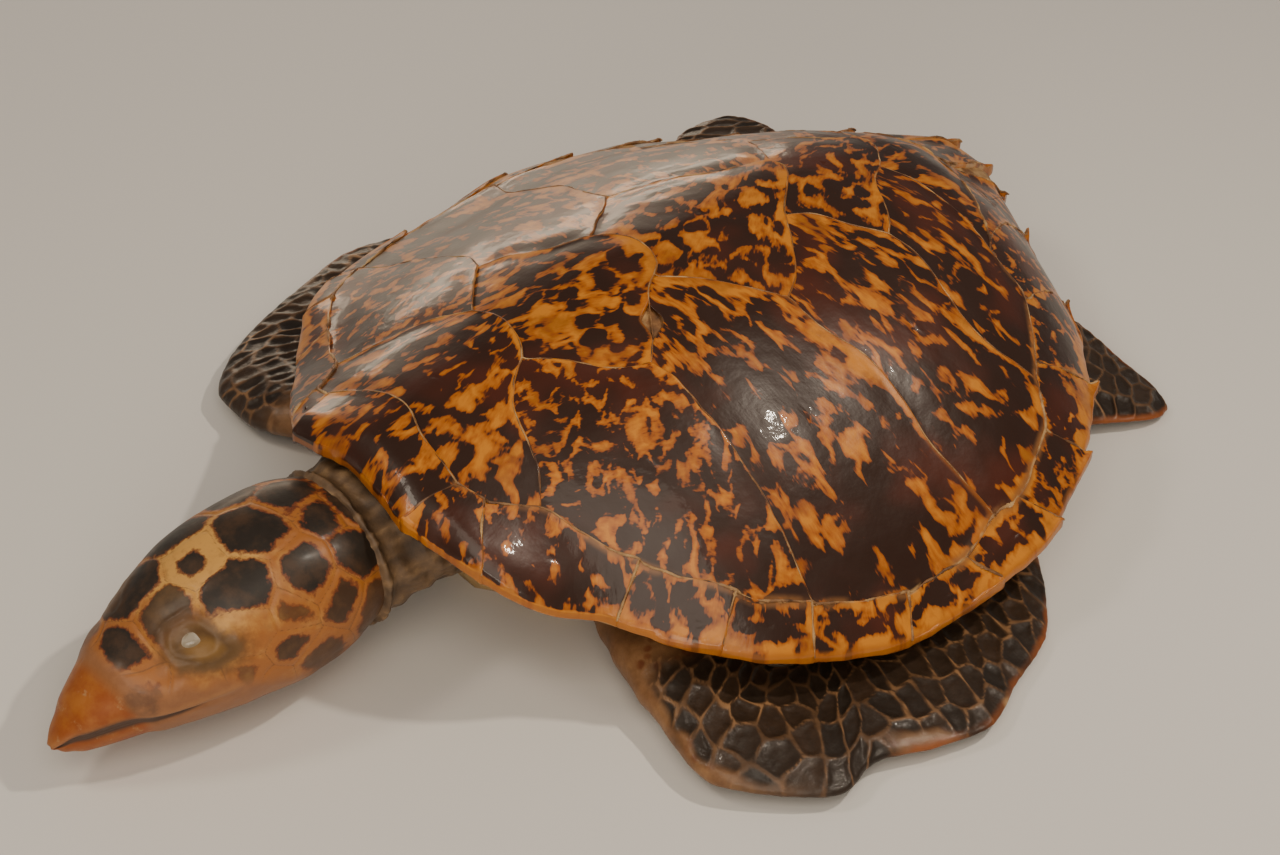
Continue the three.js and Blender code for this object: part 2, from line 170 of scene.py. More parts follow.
def addPiece(name, mesh, node):
    piece = putInScene(name, mesh)
    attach(piece, "root")
    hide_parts(node)
    print(name, "faces:", len(mesh.polygons))
    return piece


def makePiece(name, parts, finish, node):
    allPoints, allQuads, allTris, allFields, start = [], [], [], {}, 0
    for points, quads, tris, fields in parts:
        quads, tris = turnOutwards(points, quads, tris)
        allPoints.append(points)
        allQuads.append(quads + start)
        allTris.append(tris + start)
        start += len(points)
        for key, value in fields.items():
            allFields.setdefault(key, []).append(value)
    points, quads, tris = np.vstack(allPoints), np.vstack(allQuads), np.vstack(allTris)
    mesh = bpy.data.meshes.new(name)
    mesh.vertices.add(len(points))
    mesh.vertices.foreach_set("co", (points * mm).ravel())
    corners = np.concatenate([quads.ravel(), tris.ravel()]).astype(np.int32)
    mesh.loops.add(len(corners))
    mesh.loops.foreach_set("vertex_index", corners)
    starts = np.concatenate([np.arange(len(quads)) * 4, len(quads) * 4 + np.arange(len(tris)) * 3])
    mesh.polygons.add(len(starts))
    mesh.polygons.foreach_set("loop_start", starts.astype(np.int32))
    mesh.update(calc_edges=True)
    mesh.shade_smooth()
    for key, values in allFields.items():
        value = np.concatenate(values)
        kind, part = ("FLOAT_VECTOR", "vector") if value.ndim == 2 else ("FLOAT", "value")
        layer = mesh.attributes.new(key, kind, "POINT")
        layer.data.foreach_set(part, value.astype(np.float32).ravel())
    mesh.materials.append(finish)
    return addPiece(name, mesh, node)


def surfaceNormals(rings):  # outward normals of a rows x cols surface that closes across
    along = np.gradient(rings, axis=0)
    across = np.roll(rings, -1, axis=1) - np.roll(rings, 1, axis=1)
    normals = np.cross(along, across)
    length = np.linalg.norm(normals, axis=-1, keepdims=True)
    normals = normals / np.maximum(length, 1e-9)
    outward = np.sum(normals * (rings - rings.mean(axis=1, keepdims=True)), axis=-1).mean()
    return normals if outward > 0 else -normals


# node trees

def put(tree, kind, inputs=None, **settings):
    made = tree.nodes.new(kind)
    for key, value in settings.items():
        setattr(made, key, value)
    for key, value in (inputs or {}).items():
        if isinstance(value, bpy.types.NodeSocket):
            tree.links.new(value, made.inputs[key])
        else:
            made.inputs[key].default_value = value
    return made


def calc(tree, operation, *values):
    return put(tree, "ShaderNodeMath", dict(enumerate(values)), operation=operation).outputs[0]


def times(tree, a, b):
    return calc(tree, "MULTIPLY", a, b)


def plus(tree, a, b):
    return calc(tree, "ADD", a, b)


def spread(tree, value, factor, offset):
    return calc(tree, "MULTIPLY_ADD", value, factor, offset)


def objectPlace(tree):
    return put(tree, "ShaderNodeTexCoord").outputs["Object"]


def stretch(tree, vector, scale):
    return put(tree, "ShaderNodeVectorMath", {0: vector, 1: scale}, operation="MULTIPLY").outputs[0]


def noise(tree, vector, scale, detail=2, roughness=0.5):
    values = {"Vector": vector, "Scale": scale, "Detail": detail, "Roughness": roughness}
    return put(tree, "ShaderNodeTexNoise", values).outputs["Fac"]


def ramp(tree, factor, stops):
    made = put(tree, "ShaderNodeValToRGB", {"Fac": factor})
    band = made.color_ramp
    while len(band.elements) < len(stops):
        band.elements.new(0.5)
    for element, (place, colour) in zip(band.elements, stops):
        element.position = place
        element.color = (*colour, 1)
    return made.outputs["Color"]


def mixColours(tree, factor, a, b):
    made = put(tree, "ShaderNodeMix", {0: factor}, data_type="RGBA")
    for index, value in ((6, a), (7, b)):
        if isinstance(value, bpy.types.NodeSocket):
            tree.links.new(value, made.inputs[index])
        else:
            made.inputs[index].default_value = (*value, 1)
    return made.outputs[2]


def between(tree, value, low, high):  # 0 below low, 1 above high
    values = {"Value": value, "From Min": low, "From Max": high}
    return put(tree, "ShaderNodeMapRange", values, interpolation_type="SMOOTHSTEP").outputs[0]


def below(tree, value, low, high):  # 1 below low, 0 above high
    return calc(tree, "SUBTRACT", 1, between(tree, value, low, high))


def patches(tree, place, form):  # form: scale, detail, roughness, and where they start and are full
    scale, detail, roughness, low, high = form
    return between(tree, noise(tree, place, scale, detail, roughness), low, high)


def offCentre(tree, value, amount):  # a noise of about one half, as a small push up or down
    return times(tree, calc(tree, "SUBTRACT", value, 0.5), amount)


def field(tree, name):
    made = put(tree, "ShaderNodeAttribute", attribute_name=name)
    return made.outputs["Vector"], made.outputs["Fac"]


def split(tree, vector):
    return put(tree, "ShaderNodeSeparateXYZ", {0: vector}).outputs


def newFinish(name, **values):
    finish = bpy.data.materials.new(name)
    finish.use_nodes = True
    shader = finish.node_tree.nodes["Principled BSDF"]
    for key, value in values.items():
        shader.inputs[key.replace("_", " ")].default_value = value
    return finish, finish.node_tree, shader


def paintWith(tree, shader, colour, rough=None):
    tree.links.new(colour, shader.inputs["Base Color"])
    if rough is not None:
        tree.links.new(rough, shader.inputs["Roughness"])


def bumpInto(tree, shader, height, strength, distance, coat=False):
    made = put(tree, "ShaderNodeBump", {"Height": height, "Strength": strength, "Distance": distance * mm})
    tree.links.new(made.outputs[0], shader.inputs["Normal"])
    if coat:
        tree.links.new(made.outputs[0], shader.inputs["Coat Normal"])


# upper shell: shape

shell = {
    "frontY": -210, "rearY": 210,
    "rimThickness": 4, "frontThickness": 8, "thickFrontY": (150, 200),  # -y, from thin to thick
    "lip": 2.6,  # how far a scute's rear edge stands over the next
    "frontLift": 0.2,
    "leftFall": 2, "rightFall": 1.5,  # the right side falls away sooner
    "edgeSlant": 0.8,  # from a distance across to the distance from the slanting outline
    "warpFrontY": 130, "warpWidth": 45, "warpOverKeel": 0.2, "warpBack": 21, "warpUp": 10,
    "rightFlare": 8, "flareWidth": 34, "flareFrontY": (-170, -120), "flareRearY": (90, 150),
    "rearFlare": 8, "rearFlareWidth": 30, "rearFlareY": (105, 150), "rearFlareX": (-60, 0),
    "unevenness": 0.7,  # soft dents of the dried horn
    "dentSize": 30, "smallDents": (0.35, 11),
    "pillow": 0.8, "pillowReach": 16, "stillEdge": 6,  # how much a scute is domed, and how far in
    "frontRoll": 6, "rollY": (150, 204), "rollWidth": 13,  # the front edge is rolled down over the neck
    "seamWaves": [(1.3, 20), (0.52, 6)],  # how far the seams wander, and over what length
    "skinGap": 0.8,
}
leftWidth = smoothCurve([
    (-210, 41), (-193, 85), (-160, 114), (-105, 168), (-42, 190),
    (21, 193), (84, 172), (147, 121), (189, 55), (210, 9),
])
rightWidth = smoothCurve([
    (-210, 36), (-193, 62), (-160, 106), (-105, 164), (-42, 186),
    (21, 188), (84, 165), (147, 115), (189, 52), (210, 9),
])
marginHeight = smoothCurve([(-210, 97), (-172, 63), (-126, 43), (-42, 30), (42, 40), (126, 51), (210, 53)])
keelHeight = smoothCurve([(-210, 100), (-126, 117), (-42, 133.6), (42, 132.4), (126, 119.6), (210, 58)])
neckArch = smoothCurve([(-210, 4), (-186, 16), (-140, 8), (-100, 0)])


def halfWidth(side, y):
    return np.where(side > 0, leftWidth(y), rightWidth(y))


def rimInset(x, y):  # how far in from the outline of the shell, roughly
    return np.minimum(shell["edgeSlant"] * (halfWidth(x, y) - np.abs(x)), y - shell["frontY"])


def rimFlare(x, y):  # the right and the rear rim turn up a little
    along = smoothStep(y, *shell["flareFrontY"]) * (1 - smoothStep(y, *shell["flareRearY"]))
    beside = along * smoothStep(-rimInset(x, y), -shell["flareWidth"], 2) * (x < 0)
    toEnd = np.minimum(rimInset(x, y), shell["edgeSlant"] * (shell["rearY"] - y))
    behind = smoothStep(y, *shell["rearFlareY"]) * smoothStep(-toEnd, -shell["rearFlareWidth"], 0)
    behind = behind * smoothStep(-x, *shell["rearFlareX"])
    return shell["rightFlare"] * beside + shell["rearFlare"] * behind


def shellHeight(x, y):
    share = np.minimum(np.abs(x) / halfWidth(x, y), 1)
    fall = share ** np.where(x > 0, shell["leftFall"], shell["rightFall"])
    return lerp(keelHeight(y), marginHeight(y), fall) + rimFlare(x, y)


def shellUnderside(x, y):
    share = np.minimum(np.abs(x) / halfWidth(x, y), 1)
    arch = neckArch(y) * (1 - share * share)
    return marginHeight(y) - shell["rimThickness"] + arch + rimFlare(x, y)


def warpPoints(points):  # the dried shell is drawn back and up at its right rear corner
    x, y, z = points.T
    beside = np.clip(shell["warpOverKeel"] - x / shell["warpWidth"], 0, 1)
    amount = smoothStep(y, shell["warpFrontY"], shell["rearY"]) * beside
    return np.stack([x, y + shell["warpBack"] * amount, z + shell["warpUp"] * amount], axis=1)


def frontRoll(y, inward):  # how far the edge is rolled down, by the distance from it
    nearEdge = np.clip(1 - inward / shell["rollWidth"], 0, 1) ** 2
    return shell["frontRoll"] * smoothStep(-y, *shell["rollY"]) * nearEdge


def skinInset(x, y):  # the same distance for what lies under the horn
    return np.maximum(rimInset(x, y) - shell["rimThickness"], 0)


def wander(points):  # the same small shift for every seam that passes a point
    shifts = [
        sum(noiseOf(points, wave, seed + 20 * i) for i, wave in enumerate(shell["seamWaves"]))
        for seed in (3, 8)
    ]
    return points + np.stack(shifts, axis=1)


# Seams between scutes as (x, y), from front to rear or from right to left
crossSeams = {
    "nuchal": [(-46, -183), (-24, -177), (0, -175), (20, -181), (46, -184)],
    "v12": [(-28, -115), (-10, -113), (8, -118), (16, -123)],
    "v23": [(-23, -50), (-12, -43), (6, -41), (15, -44), (21, -51)],
    "v34": [(-18, 60), (-6, 58), (5, 49), (22, 31)],
    "v45": [(-18, 122), (-6, 120), (5, 112), (15, 103)],
}
leftSeams = {
    "v1c1": [(72, -160), (58, -151), (34, -143), (23, -134), (16, -123)],
    "v2c1": [(16, -123), (28, -112), (47, -98), (56, -84)],
    "v2c2": [(56, -84), (41, -69), (28, -60), (21, -51)],
    "v3c2": [(21, -51), (34, -34), (62, -7)],
    "v3c3": [(62, -7), (54, 6), (38, 20), (22, 31)],
    "v4c3": [(22, 31), (29, 43), (43, 53), (56, 66)],
    "v4c4": [(56, 66), (43, 80), (24, 90), (15, 103)],
    "v5c4": [(15, 103), (31, 113), (58, 118), (82, 117)],
    "c12": [(56, -84), (73, -79), (115, -78), (161, -82)],
    "c23": [(62, -7), (82, -3), (110, 7), (144, 9), (175, 18)],
    "c34": [(56, 66), (72, 71), (110, 69), (139, 85)],
}
rightSeams = {
    "v1c1": [(-72, -160), (-62, -148), (-45, -126), (-28, -115)],
    "v2c1": [(-28, -115), (-45, -101), (-61, -86)],
    "v2c2": [(-61, -86), (-49, -74), (-32, -65), (-23, -50)],
    "v3c2": [(-23, -50), (-38, -32), (-58, -8)],
    "v3c3": [(-58, -8), (-48, 13), (-29, 34), (-18, 60)],
    "v4c3": [(-18, 60), (-34, 70), (-56, 82)],
    "v4c4": [(-56, 82), (-42, 97), (-24, 108), (-18, 122)],
    "v5c4": [(-18, 122), (-38, 124), (-60, 121), (-82, 117)],
    "c12": [(-61, -86), (-75, -79), (-115, -78), (-161, -82)],
    "c23": [(-58, -8), (-82, -3), (-110, 7), (-144, 9), (-175, 18)],
    "c34": [(-56, 82), (-76, 80), (-110, 76), (-139, 85)],
}
innerLine = [  # the seam along the inside of the left marginals
    (46, -184), (58, -179), (72, -160), (90, -151), (110, -137), (142, -110), (161, -82), (172, -57),
    (177, -40), (180, -4), (175, 18), (174, 35), (156, 73), (139, 85), (131, 94), (102, 115),
    (82, 117), (70, 125), (41, 145), (0, 158),
]
innerEnds = [0, 1, 4, 5, 6, 8, 9, 11, 12, 14, 15, 17, 19]  # points where marginal seams meet it
outerEnds = {
    1: [-210, -197, -156, -126, -92, -48, 8, 52, 92, 131, 171, 199, 210],
    -1: [-210, -197, -155, -126, -94, -31, 35, 71, 111, 141, 173, 199, 210],
}
tipLength = [0, 0, 0, 0.2, 0.5, 1, 2, 3.5, 4, 4.5, 5, 5]  # points of the saw edge, front to rear

seamSpacing = 1.8
crossFine = {name: fineLine(points, seamSpacing) for name, points in crossSeams.items()}
sideFine = {
    side: {name: fineLine(points, seamSpacing) for name, points in seams.items()}
    for side, seams in ((1, leftSeams), (-1, rightSeams))
}
innerFine = fineSegments(innerLine, seamSpacing)


def innerPart(side, first, last):  # the inner line of the marginals between two of its points
    part = np.vstack(innerFine[first:last] + [innerFine[last][:1]])
    return part * (side, 1)


def joinSeams(*parts):
    return np.vstack([part[:-1] for part in parts])


def vertebralOutlines():
    left, right = sideFine[1], sideFine[-1]
    lines = [
        ("nuchal", "v12", [innerPart(1, 0, 2), left["v1c1"]], [innerPart(-1, 0, 2), right["v1c1"]]),
        ("v12", "v23", [left["v2c1"], left["v2c2"]], [right["v2c1"], right["v2c2"]]),
        ("v23", "v34", [left["v3c2"], left["v3c3"]], [right["v3c2"], right["v3c3"]]),
        ("v34", "v45", [left["v4c3"], left["v4c4"]], [right["v4c3"], right["v4c4"]]),
    ]
    outlines = []
    for front, rear, down, up in lines:
        back = [part[::-1] for part in up[::-1]]
        outlines.append(joinSeams(crossFine[front], *down, crossFine[rear][::-1], *back))
    tail = [innerPart(1, 16, 19), innerPart(-1, 16, 19)[::-1]]
    outlines.append(joinSeams(crossFine["v45"], left["v5c4"], *tail, right["v5c4"][::-1]))
    return outlines


def costalOutlines(side):
    seam = sideFine[side]
    return [
        joinSeams(seam["v1c1"], seam["v2c1"], seam["c12"], innerPart(side, 2, 6)[::-1]),
        joinSeams(seam["c12"][::-1], seam["v2c2"], seam["v3c2"], seam["c23"], innerPart(side, 6, 10)[::-1]),
        joinSeams(seam["c23"][::-1], seam["v3c3"], seam["v4c3"], seam["c34"], innerPart(side, 10, 13)[::-1]),
        joinSeams(seam["c34"][::-1], seam["v4c4"], seam["v5c4"], innerPart(side, 13, 16)[::-1]),
    ]


sawEdge = [(0, -0.1), (0.12, 0), (0.35, 0.2), (0.7, 0.6), (0.9, 0.85)]  # shares of the edge and the point
tipLean = 0.5  # the points of the saw lean back


def marginalOutline(side, i):  # the saw edge first, then the rear seam, the inner line and the front seam
    tip = tipLength[i]
    start, end = outerEnds[side][i], outerEnds[side][i + 1]
    slope = halfWidth(side, end) - halfWidth(side, end - 1)
    nx, ny = 1 / np.hypot(1, slope), -slope / np.hypot(1, slope)
    line = []
    for share, rise in sawEdge:
        y = lerp(start, end, share)
        line.append((halfWidth(side, y) + tip * rise * nx, y))
    line.append((halfWidth(side, end) + tip * (nx - tipLean * ny), end + tip * (ny + tipLean * nx)))
    outer = fineLine(line, seamSpacing) * (side, 1)
    inner = innerPart(side, innerEnds[i], innerEnds[i + 1])[::-1]
    rear = fineLine([outer[-1], inner[0]], seamSpacing)
    front = fineLine([inner[-1], outer[0]], seamSpacing)
    return joinSeams(outer, rear, inner, front), len(outer)


frontEdge = [(-36, -210), (-18, -208), (0, -207), (20, -208), (41, -210)]


def nuchalOutline():
    front = fineLine(frontEdge, seamSpacing)
    back = crossFine["nuchal"][::-1]
    left = fineLine([front[-1], back[0]], seamSpacing)
    right = fineLine([back[-1], front[0]], seamSpacing)
    return joinSeams(front, left, back, right), len(front)


innerWhole = np.vstack(innerFine)
nuchalNumber = 30
chips = [  # middle, reach and depth of the places where an edge has broken away
    ((39, -69), 7, 6), ((92, -5), 2, 1.4), ((70, -4), 3, 0.8), ((100, -80), 2.5, 0.9), ((42, -102), 6, 0.6),
    ((-45, -70), 4, 1.2), ((-100, 8), 3, 1.0),
]
leans = [  # middle, reach and strength of the places with more amber, or less below zero
    ((30, -168), 17, 0.1), ((22, -150), 9, 0.04), ((0, -146), 13, -0.06), ((-6, -56), 11, 0.04),
    ((24, -60), 9, 0.03), ((4, -104), 14, 0.02), ((0, 12), 16, 0.04), ((30, -30), 9, -0.06),
    ((20, 84), 12, 0.04), ((84, -122), 26, 0.01), ((72, -142), 9, -0.08), ((112, -116), 12, -0.09),
    ((116, -140), 12, -0.02), ((54, -74), 11, 0.04), ((92, -64), 16, -0.08), ((76, -36), 15, 0.05),
    ((104, -14), 14, 0.05), ((140, -8), 10, -0.06), ((148, -32), 14, -0.13), ((164, -62), 12, -0.08),
    ((124, -46), 12, 0.02), ((70, 22), 12, 0.02), ((108, 28), 13, 0.04), ((132, 6), 13, -0.12),
    ((164, 26), 16, -0.12), ((140, 36), 9, 0.02), ((112, 98), 16, -0.12), ((132, 74), 14, -0.12),
    ((66, 92), 12, 0.03), ((92, 78), 10, 0.04), ((84, -9), 8, 0.08), ((106, -2), 8, 0.1),
    ((128, 3), 7, 0.08), ((84, 66), 7, 0.08), ((108, 63), 7, 0.08),
]
leanRule = {"strength": 1.4, "keelHalf": 30, "rightStep": 9}


def leanAt(flat):  # the right side has the same places, a little out of step
    x, y = flat.T
    keelHalf = leanRule["keelHalf"]
    side = np.stack([np.abs(x), y + np.where(x < -keelHalf, leanRule["rightStep"], 0)], axis=1)
    total = np.zeros(len(flat))
    for place, reach, strength in leans:
        near = flat if abs(place[0]) < keelHalf else side
        total += leanRule["strength"] * strength * bell(np.linalg.norm(near - place, axis=1), reach)
    return total


scuteForm = {
    "tuck": 1.4,  # how far a front edge goes under the scute before it
    "overhang": 0.6, "spare": 0.25,  # how far the others go over, and what every edge adds
    "edgeRound": 0.9,
    "rimRound": 2.0, "frontRound": 3.6,  # the outer rim of a marginal is thicker and rounder
    "innerSeam": 0.3, "innerReach": 0.6,  # the seam along the marginals looks wider than the others
    "wallDepth": 1.6,
    "evenRings": (0.04, 0.9), "edgeRings": (0.075, 0.003, 8),  # shares of the way out, and back from the edge
    "rearFacing": 0.2,  # an edge that faces back by this much has the amber rim
    "rimDents": 0.5,
    "calmCorner": (0.35, 4),  # a marginal's amber rim fades towards its seams
    "darkMiddle": 0.12, "darkReach": (1.5, 5), "rimWeight": 0.6,
    "numberStep": 7.3,
}


def edgeNormals(edge):  # in plan, outwards
    following = np.roll(edge, -1, axis=0)
    ahead = following - np.roll(edge, 1, axis=0)
    normal = np.stack([ahead[:, 1], -ahead[:, 0]], axis=1)
    normal /= np.linalg.norm(normal, axis=1, keepdims=True)
    clockwise = np.sum(edge[:, 0] * following[:, 1] - following[:, 0] * edge[:, 1]) < 0
    return -normal if clockwise else normal


def distances(points, others):
    return np.linalg.norm(points[:, None] - others[None], axis=2)


def grownEdge(edge, normal, onRim):  # tucked under in front, over the next scute behind, and chipped
    form = scuteForm
    facing = normal[:, 1]
    grow = np.where(facing < 0, -form["tuck"] * facing, form["overhang"] * facing) + form["spare"]
    grow[onRim] = 0
    for place, reach, depth in chips:
        grow -= depth * bell(np.linalg.norm(edge - place, axis=1), reach)
    return edge + normal * grow[:, None]


def growthGrain(flat, middle, focus, growth, number):  # cm along and across the growth lines, and the scute
    away = flat - np.array(focus)
    reach = np.linalg.norm(away, axis=1)
    middleAway = middle - np.array(focus)
    angle = np.arctan2(away[:, 1], away[:, 0]) - np.arctan2(middleAway[1], middleAway[0])
    angle = (angle + np.pi) % (2 * np.pi) - np.pi
    across = angle * np.linalg.norm(middleAway)
    scute = np.full(len(flat), number * scuteForm["numberStep"])
    return np.stack([reach / 10 / growth, across / 10, scute], axis=1)


def scutePart(outline, number, rings, look, rimCount=0):
    form = scuteForm
    focus, rimWidth, bias, growth = look
    edge = wander(outline)
    normal = edgeNormals(edge)
    middle = edge.mean(0)
    frontY = outline[:, 1].min()
    length = outline[:, 1].max() - frontY
    onRim = np.arange(len(edge)) < rimCount
    grown = grownEdge(edge, normal, onRim)
    even = np.linspace(*form["evenRings"], rings)
    shares = np.concatenate([even, 1 - np.geomspace(*form["edgeRings"]), [1]])
    plan = middle + shares[:, None, None] * (grown - middle)
    flat = plan.reshape(-1, 2)
    distance = distances(flat, grown)
    toEdge = np.min(distance, axis=1)
    mirrored = outline * (np.sign(middle[0]) or 1, 1)
    onInner = np.min(distances(mirrored, innerWhole), axis=1) < form["innerReach"]
    seam = np.min((distance * np.where(onInner, form["innerSeam"], 1))[:, ~onRim], axis=1)
    rimPoints = grown[onRim] if rimCount else grown[normal[:, 1] > form["rearFacing"]]
    toRim = np.min(distances(flat, rimPoints), axis=1)
    x, y = flat.T
    base = shellHeight(x, y)
    small = noiseOf(flat, shell["smallDents"], 6)
    dents = shell["unevenness"] * (softNoise(flat, shell["dentSize"], 5) + small - 0.5)
    dents = dents + shell["pillow"] * smoothStep(toEdge, 0, shell["pillowReach"])
    dents = dents * smoothStep(toEdge, 0, shell["stillEdge"])
    rimShare = toRim / rimWidth
    radius = np.full(len(flat), form["edgeRound"])
    lean = bias + leanAt(flat)
    if rimCount:
        toSeam = np.min(distance[:, ~onRim], axis=1)
        front = smoothStep(-y, *shell["thickFrontY"])
        rimRound = lerp(form["rimRound"], form["frontRound"], front)
        radius = lerp(form["edgeRound"], rimRound, smoothStep(toSeam - toRim, -1, 4))
        base = base - frontRoll(y, toRim)
        dents = form["rimDents"] * dents
        if number != nuchalNumber:
            corner, fade = form["calmCorner"]
            rimShare = np.minimum(rimShare, corner + toSeam / fade)
            inside = smoothStep(np.minimum(toSeam, form["rimWeight"] * toRim), *form["darkReach"])
            lean = lean - form["darkMiddle"] * inside
    bevel = radius * (1 - np.sqrt(1 - np.clip(1 - toEdge / radius, 0, 1) ** 2))
    top = np.stack([x, y, base + scuteLift(y, frontY, length) + dents - bevel], axis=1)
    grain = growthGrain(flat, middle, focus, growth, number)
    edges = np.stack([rimShare, seam, lean], axis=1)
    rows, cols = plan.shape[:2]
    if rimCount:  # a marginal shows its underside too
        thickness = lerp(shell["rimThickness"], shell["frontThickness"], front)
        lower = np.stack([x, y, base - thickness + bevel], axis=1)
        more = [v.reshape(rows, cols, 3)[::-1].reshape(-1, 3) for v in (lower, grain, edges)]
        rows *= 2
    else:
        last = slice((rows - 1) * cols, None)
        wall = top[last].copy()
        wall[:, 2] = base[last] - form["wallDepth"]
        more = [wall, grain[last], edges[last]]
        rows += 1
    topZ = shellHeight(*middle) + scuteLift(middle[1], frontY, length)
    ends = np.array([(*middle, float(topZ)), (*middle, more[0][-cols:, 2].mean())])
    points = np.vstack([top, more[0], ends])
    grain = np.vstack([grain, more[1], grain[:1], grain[:1]])
    edges = np.vstack([edges, more[2], edges[:1], edges[:1]])
    tris = endFans(rows, cols, len(points) - 2, len(points) - 1)
    return warpPoints(points), tubeFaces(rows, cols), tris, {"grain": grain, "edges": edges}


def scuteLift(y, frontY, length):
    return shell["frontLift"] + shell["lip"] * np.clip((y - frontY) / length, 0, 1)


# horn finish

hornLook = {
    "dark": (0.026, 0.0085, 0.0035), "redDark": (0.062, 0.012, 0.004), "brown": (0.13, 0.026, 0.004),
    "amber": (0.37, 0.098, 0.0035), "gold": (0.56, 0.20, 0.012),
    "rim": (0.36, 0.105, 0.008), "varnish": (0.50, 0.30, 0.12), "seam": (0.24, 0.10, 0.03),
    "bendScale": 0.75, "bend": (1.0, 1.5, 0),  # how the flames wind
    "blotch": 1.4, "blotchShare": (1.3, -0.15),  # blotches for each centimetre across the growth
    "vein": 0.95, "veinStretch": (1, 1, 1.7), "veinHalf": 0.05, "veinShare": 1.5,  # the net of thin flames
    "feather": 0.22, "featherScale": 1.3, "featherStretch": (2.6, 7, 1),
    "teeth": 0.12, "teethScale": 3.5, "teethStretch": (1.2, 3, 1),
    "darkShare": 0.51,  # below this value of the pattern the horn is dark
    "amberAt": 0.08, "goldAt": 0.28, "softEdge": (-0.025, 0.045),  # counted from there
    "rimLean": 0.3,
    "blush": 0.5,  # how much red-brown lies over the amber
    "rough": (0.24, 0.26),
    "ridges": 0.14, "ridgeScale": 1.4, "ridgeStretch": (0.7, 4, 1), "dents": 0.8, "dentScale": 130,
    "rimFray": (2.4, -0.75), "rimFrayScale": 75, "rimReach": (0.9, 2.0),
    "rimPatches": (26, 2, 0.5, 0.36, 0.56),
    "redPatches": (22, 2, 0.5, 0.45, 0.68), "blushPatches": (48, 4, 0.6, 0.48, 0.7),
    "outer": 0.6, "outerReach": (0.1, 0.45),  # the amber edge itself, in shares of its width
    "band": 0.8, "bandReach": (0.35, 1.1), "bandPatches": (60, 3, 0.5, 0.4, 0.6),  # beside a seam, in mm
    "line": 0.75, "lineReach": (0.1, 0.4), "linePatches": (130, 3, 0.5, 0.46, 0.62),
    "bump": (0.55, 0.6),
}


def flamePattern(tree, grain, place, rim, lean):  # high where the horn is amber
    look = hornLook
    bent = put(tree, "ShaderNodeTexNoise", {"Vector": grain, "Scale": look["bendScale"]}).outputs["Color"]
    bent = stretch(tree, bent, look["bend"])
    bent = put(tree, "ShaderNodeVectorMath", {0: grain, 1: bent}, operation="ADD").outputs[0]
    wide = spread(tree, noise(tree, bent, look["blotch"], 2, 0.45), *look["blotchShare"])
    ridge = noise(tree, stretch(tree, bent, look["veinStretch"]), look["vein"], 1.5, 0.45)
    ridge = calc(tree, "ABSOLUTE", calc(tree, "SUBTRACT", ridge, 0.5))
    veins = times(tree, calc(tree, "SUBTRACT", look["veinHalf"], ridge), look["veinShare"])
    feather = noise(tree, stretch(tree, grain, look["featherStretch"]), look["featherScale"], 1.5)
    teeth = noise(tree, stretch(tree, grain, look["teethStretch"]), look["teethScale"], 2, 0.6)
    fray = spread(tree, noise(tree, place, look["rimFrayScale"]), *look["rimFray"])
    rimShare = below(tree, plus(tree, rim, fray), *look["rimReach"])
    rimShare = times(tree, rimShare, patches(tree, place, look["rimPatches"]))
    pattern = wide
    for more in (
        veins, offCentre(tree, feather, look["feather"]), offCentre(tree, teeth, look["teeth"]), lean,
        times(tree, rimShare, look["rimLean"]),
    ):
        pattern = plus(tree, pattern, more)
    return pattern


# fields: grain (cm along and across the growth, scute), edges (share of the amber rim, mm to a seam, lean)
def hornFinish():
    look = hornLook
    finish, tree, shader = newFinish("flamedHorn", Coat_Weight=0.22, Coat_Roughness=0.065, IOR=1.4)
    grain, _ = field(tree, "grain")
    rim, seam, lean = split(tree, field(tree, "edges")[0])
    place = objectPlace(tree)
    pattern = flamePattern(tree, grain, place, rim, lean)
    level = look["darkShare"]
    ground = mixColours(tree, patches(tree, place, look["redPatches"]), look["dark"], look["redDark"])
    stops = [(0, "brown"), (look["amberAt"], "amber"), (look["goldAt"], "gold")]
    flame = ramp(tree, pattern, [(level + shift, look[name]) for shift, name in stops])
    blush = times(tree, patches(tree, place, look["blushPatches"]), look["blush"])
    flame = mixColours(tree, blush, flame, look["brown"])
    isFlame = between(tree, pattern, *(level + shift for shift in look["softEdge"]))
    colour = mixColours(tree, isFlame, ground, flame)
    outer = times(tree, below(tree, rim, *look["outerReach"]), look["outer"])
    band = times(tree, patches(tree, place, look["bandPatches"]), look["band"])
    band = times(tree, below(tree, seam, *look["bandReach"]), band)
    line = times(tree, below(tree, seam, *look["lineReach"]), patches(tree, place, look["linePatches"]))
    for amount, over in ((outer, "rim"), (band, "seam"), (times(tree, line, look["line"]), "varnish")):
        colour = mixColours(tree, amount, colour, look[over])
    paintWith(tree, shader, colour, spread(tree, noise(tree, place, 45, 3), *look["rough"]))
    ridges = noise(tree, stretch(tree, grain, look["ridgeStretch"]), look["ridgeScale"], 3, 0.6)
    dents = noise(tree, place, look["dentScale"], 3)
    height = plus(tree, times(tree, ridges, look["ridges"]), times(tree, dents, look["dents"]))
    bumpInto(tree, shader, height, *look["bump"], coat=True)
    return finish


def boneFinish():  # also the dried varnish in the seams
    finish, tree, shader = newFinish("seamVarnish", Roughness=0.5)
    place = objectPlace(tree)
    colour = ramp(tree, noise(tree, place, 70, 4, 0.6), [
        (0.33, (0.05, 0.022, 0.01)), (0.47, (0.20, 0.09, 0.03)), (0.64, (0.50, 0.31, 0.13)),
    ])
    paintWith(tree, shader, colour)
    bumpInto(tree, shader, noise(tree, place, 300, 4, 0.6), 0.5, 0.4)
    return finish


# upper shell: pieces

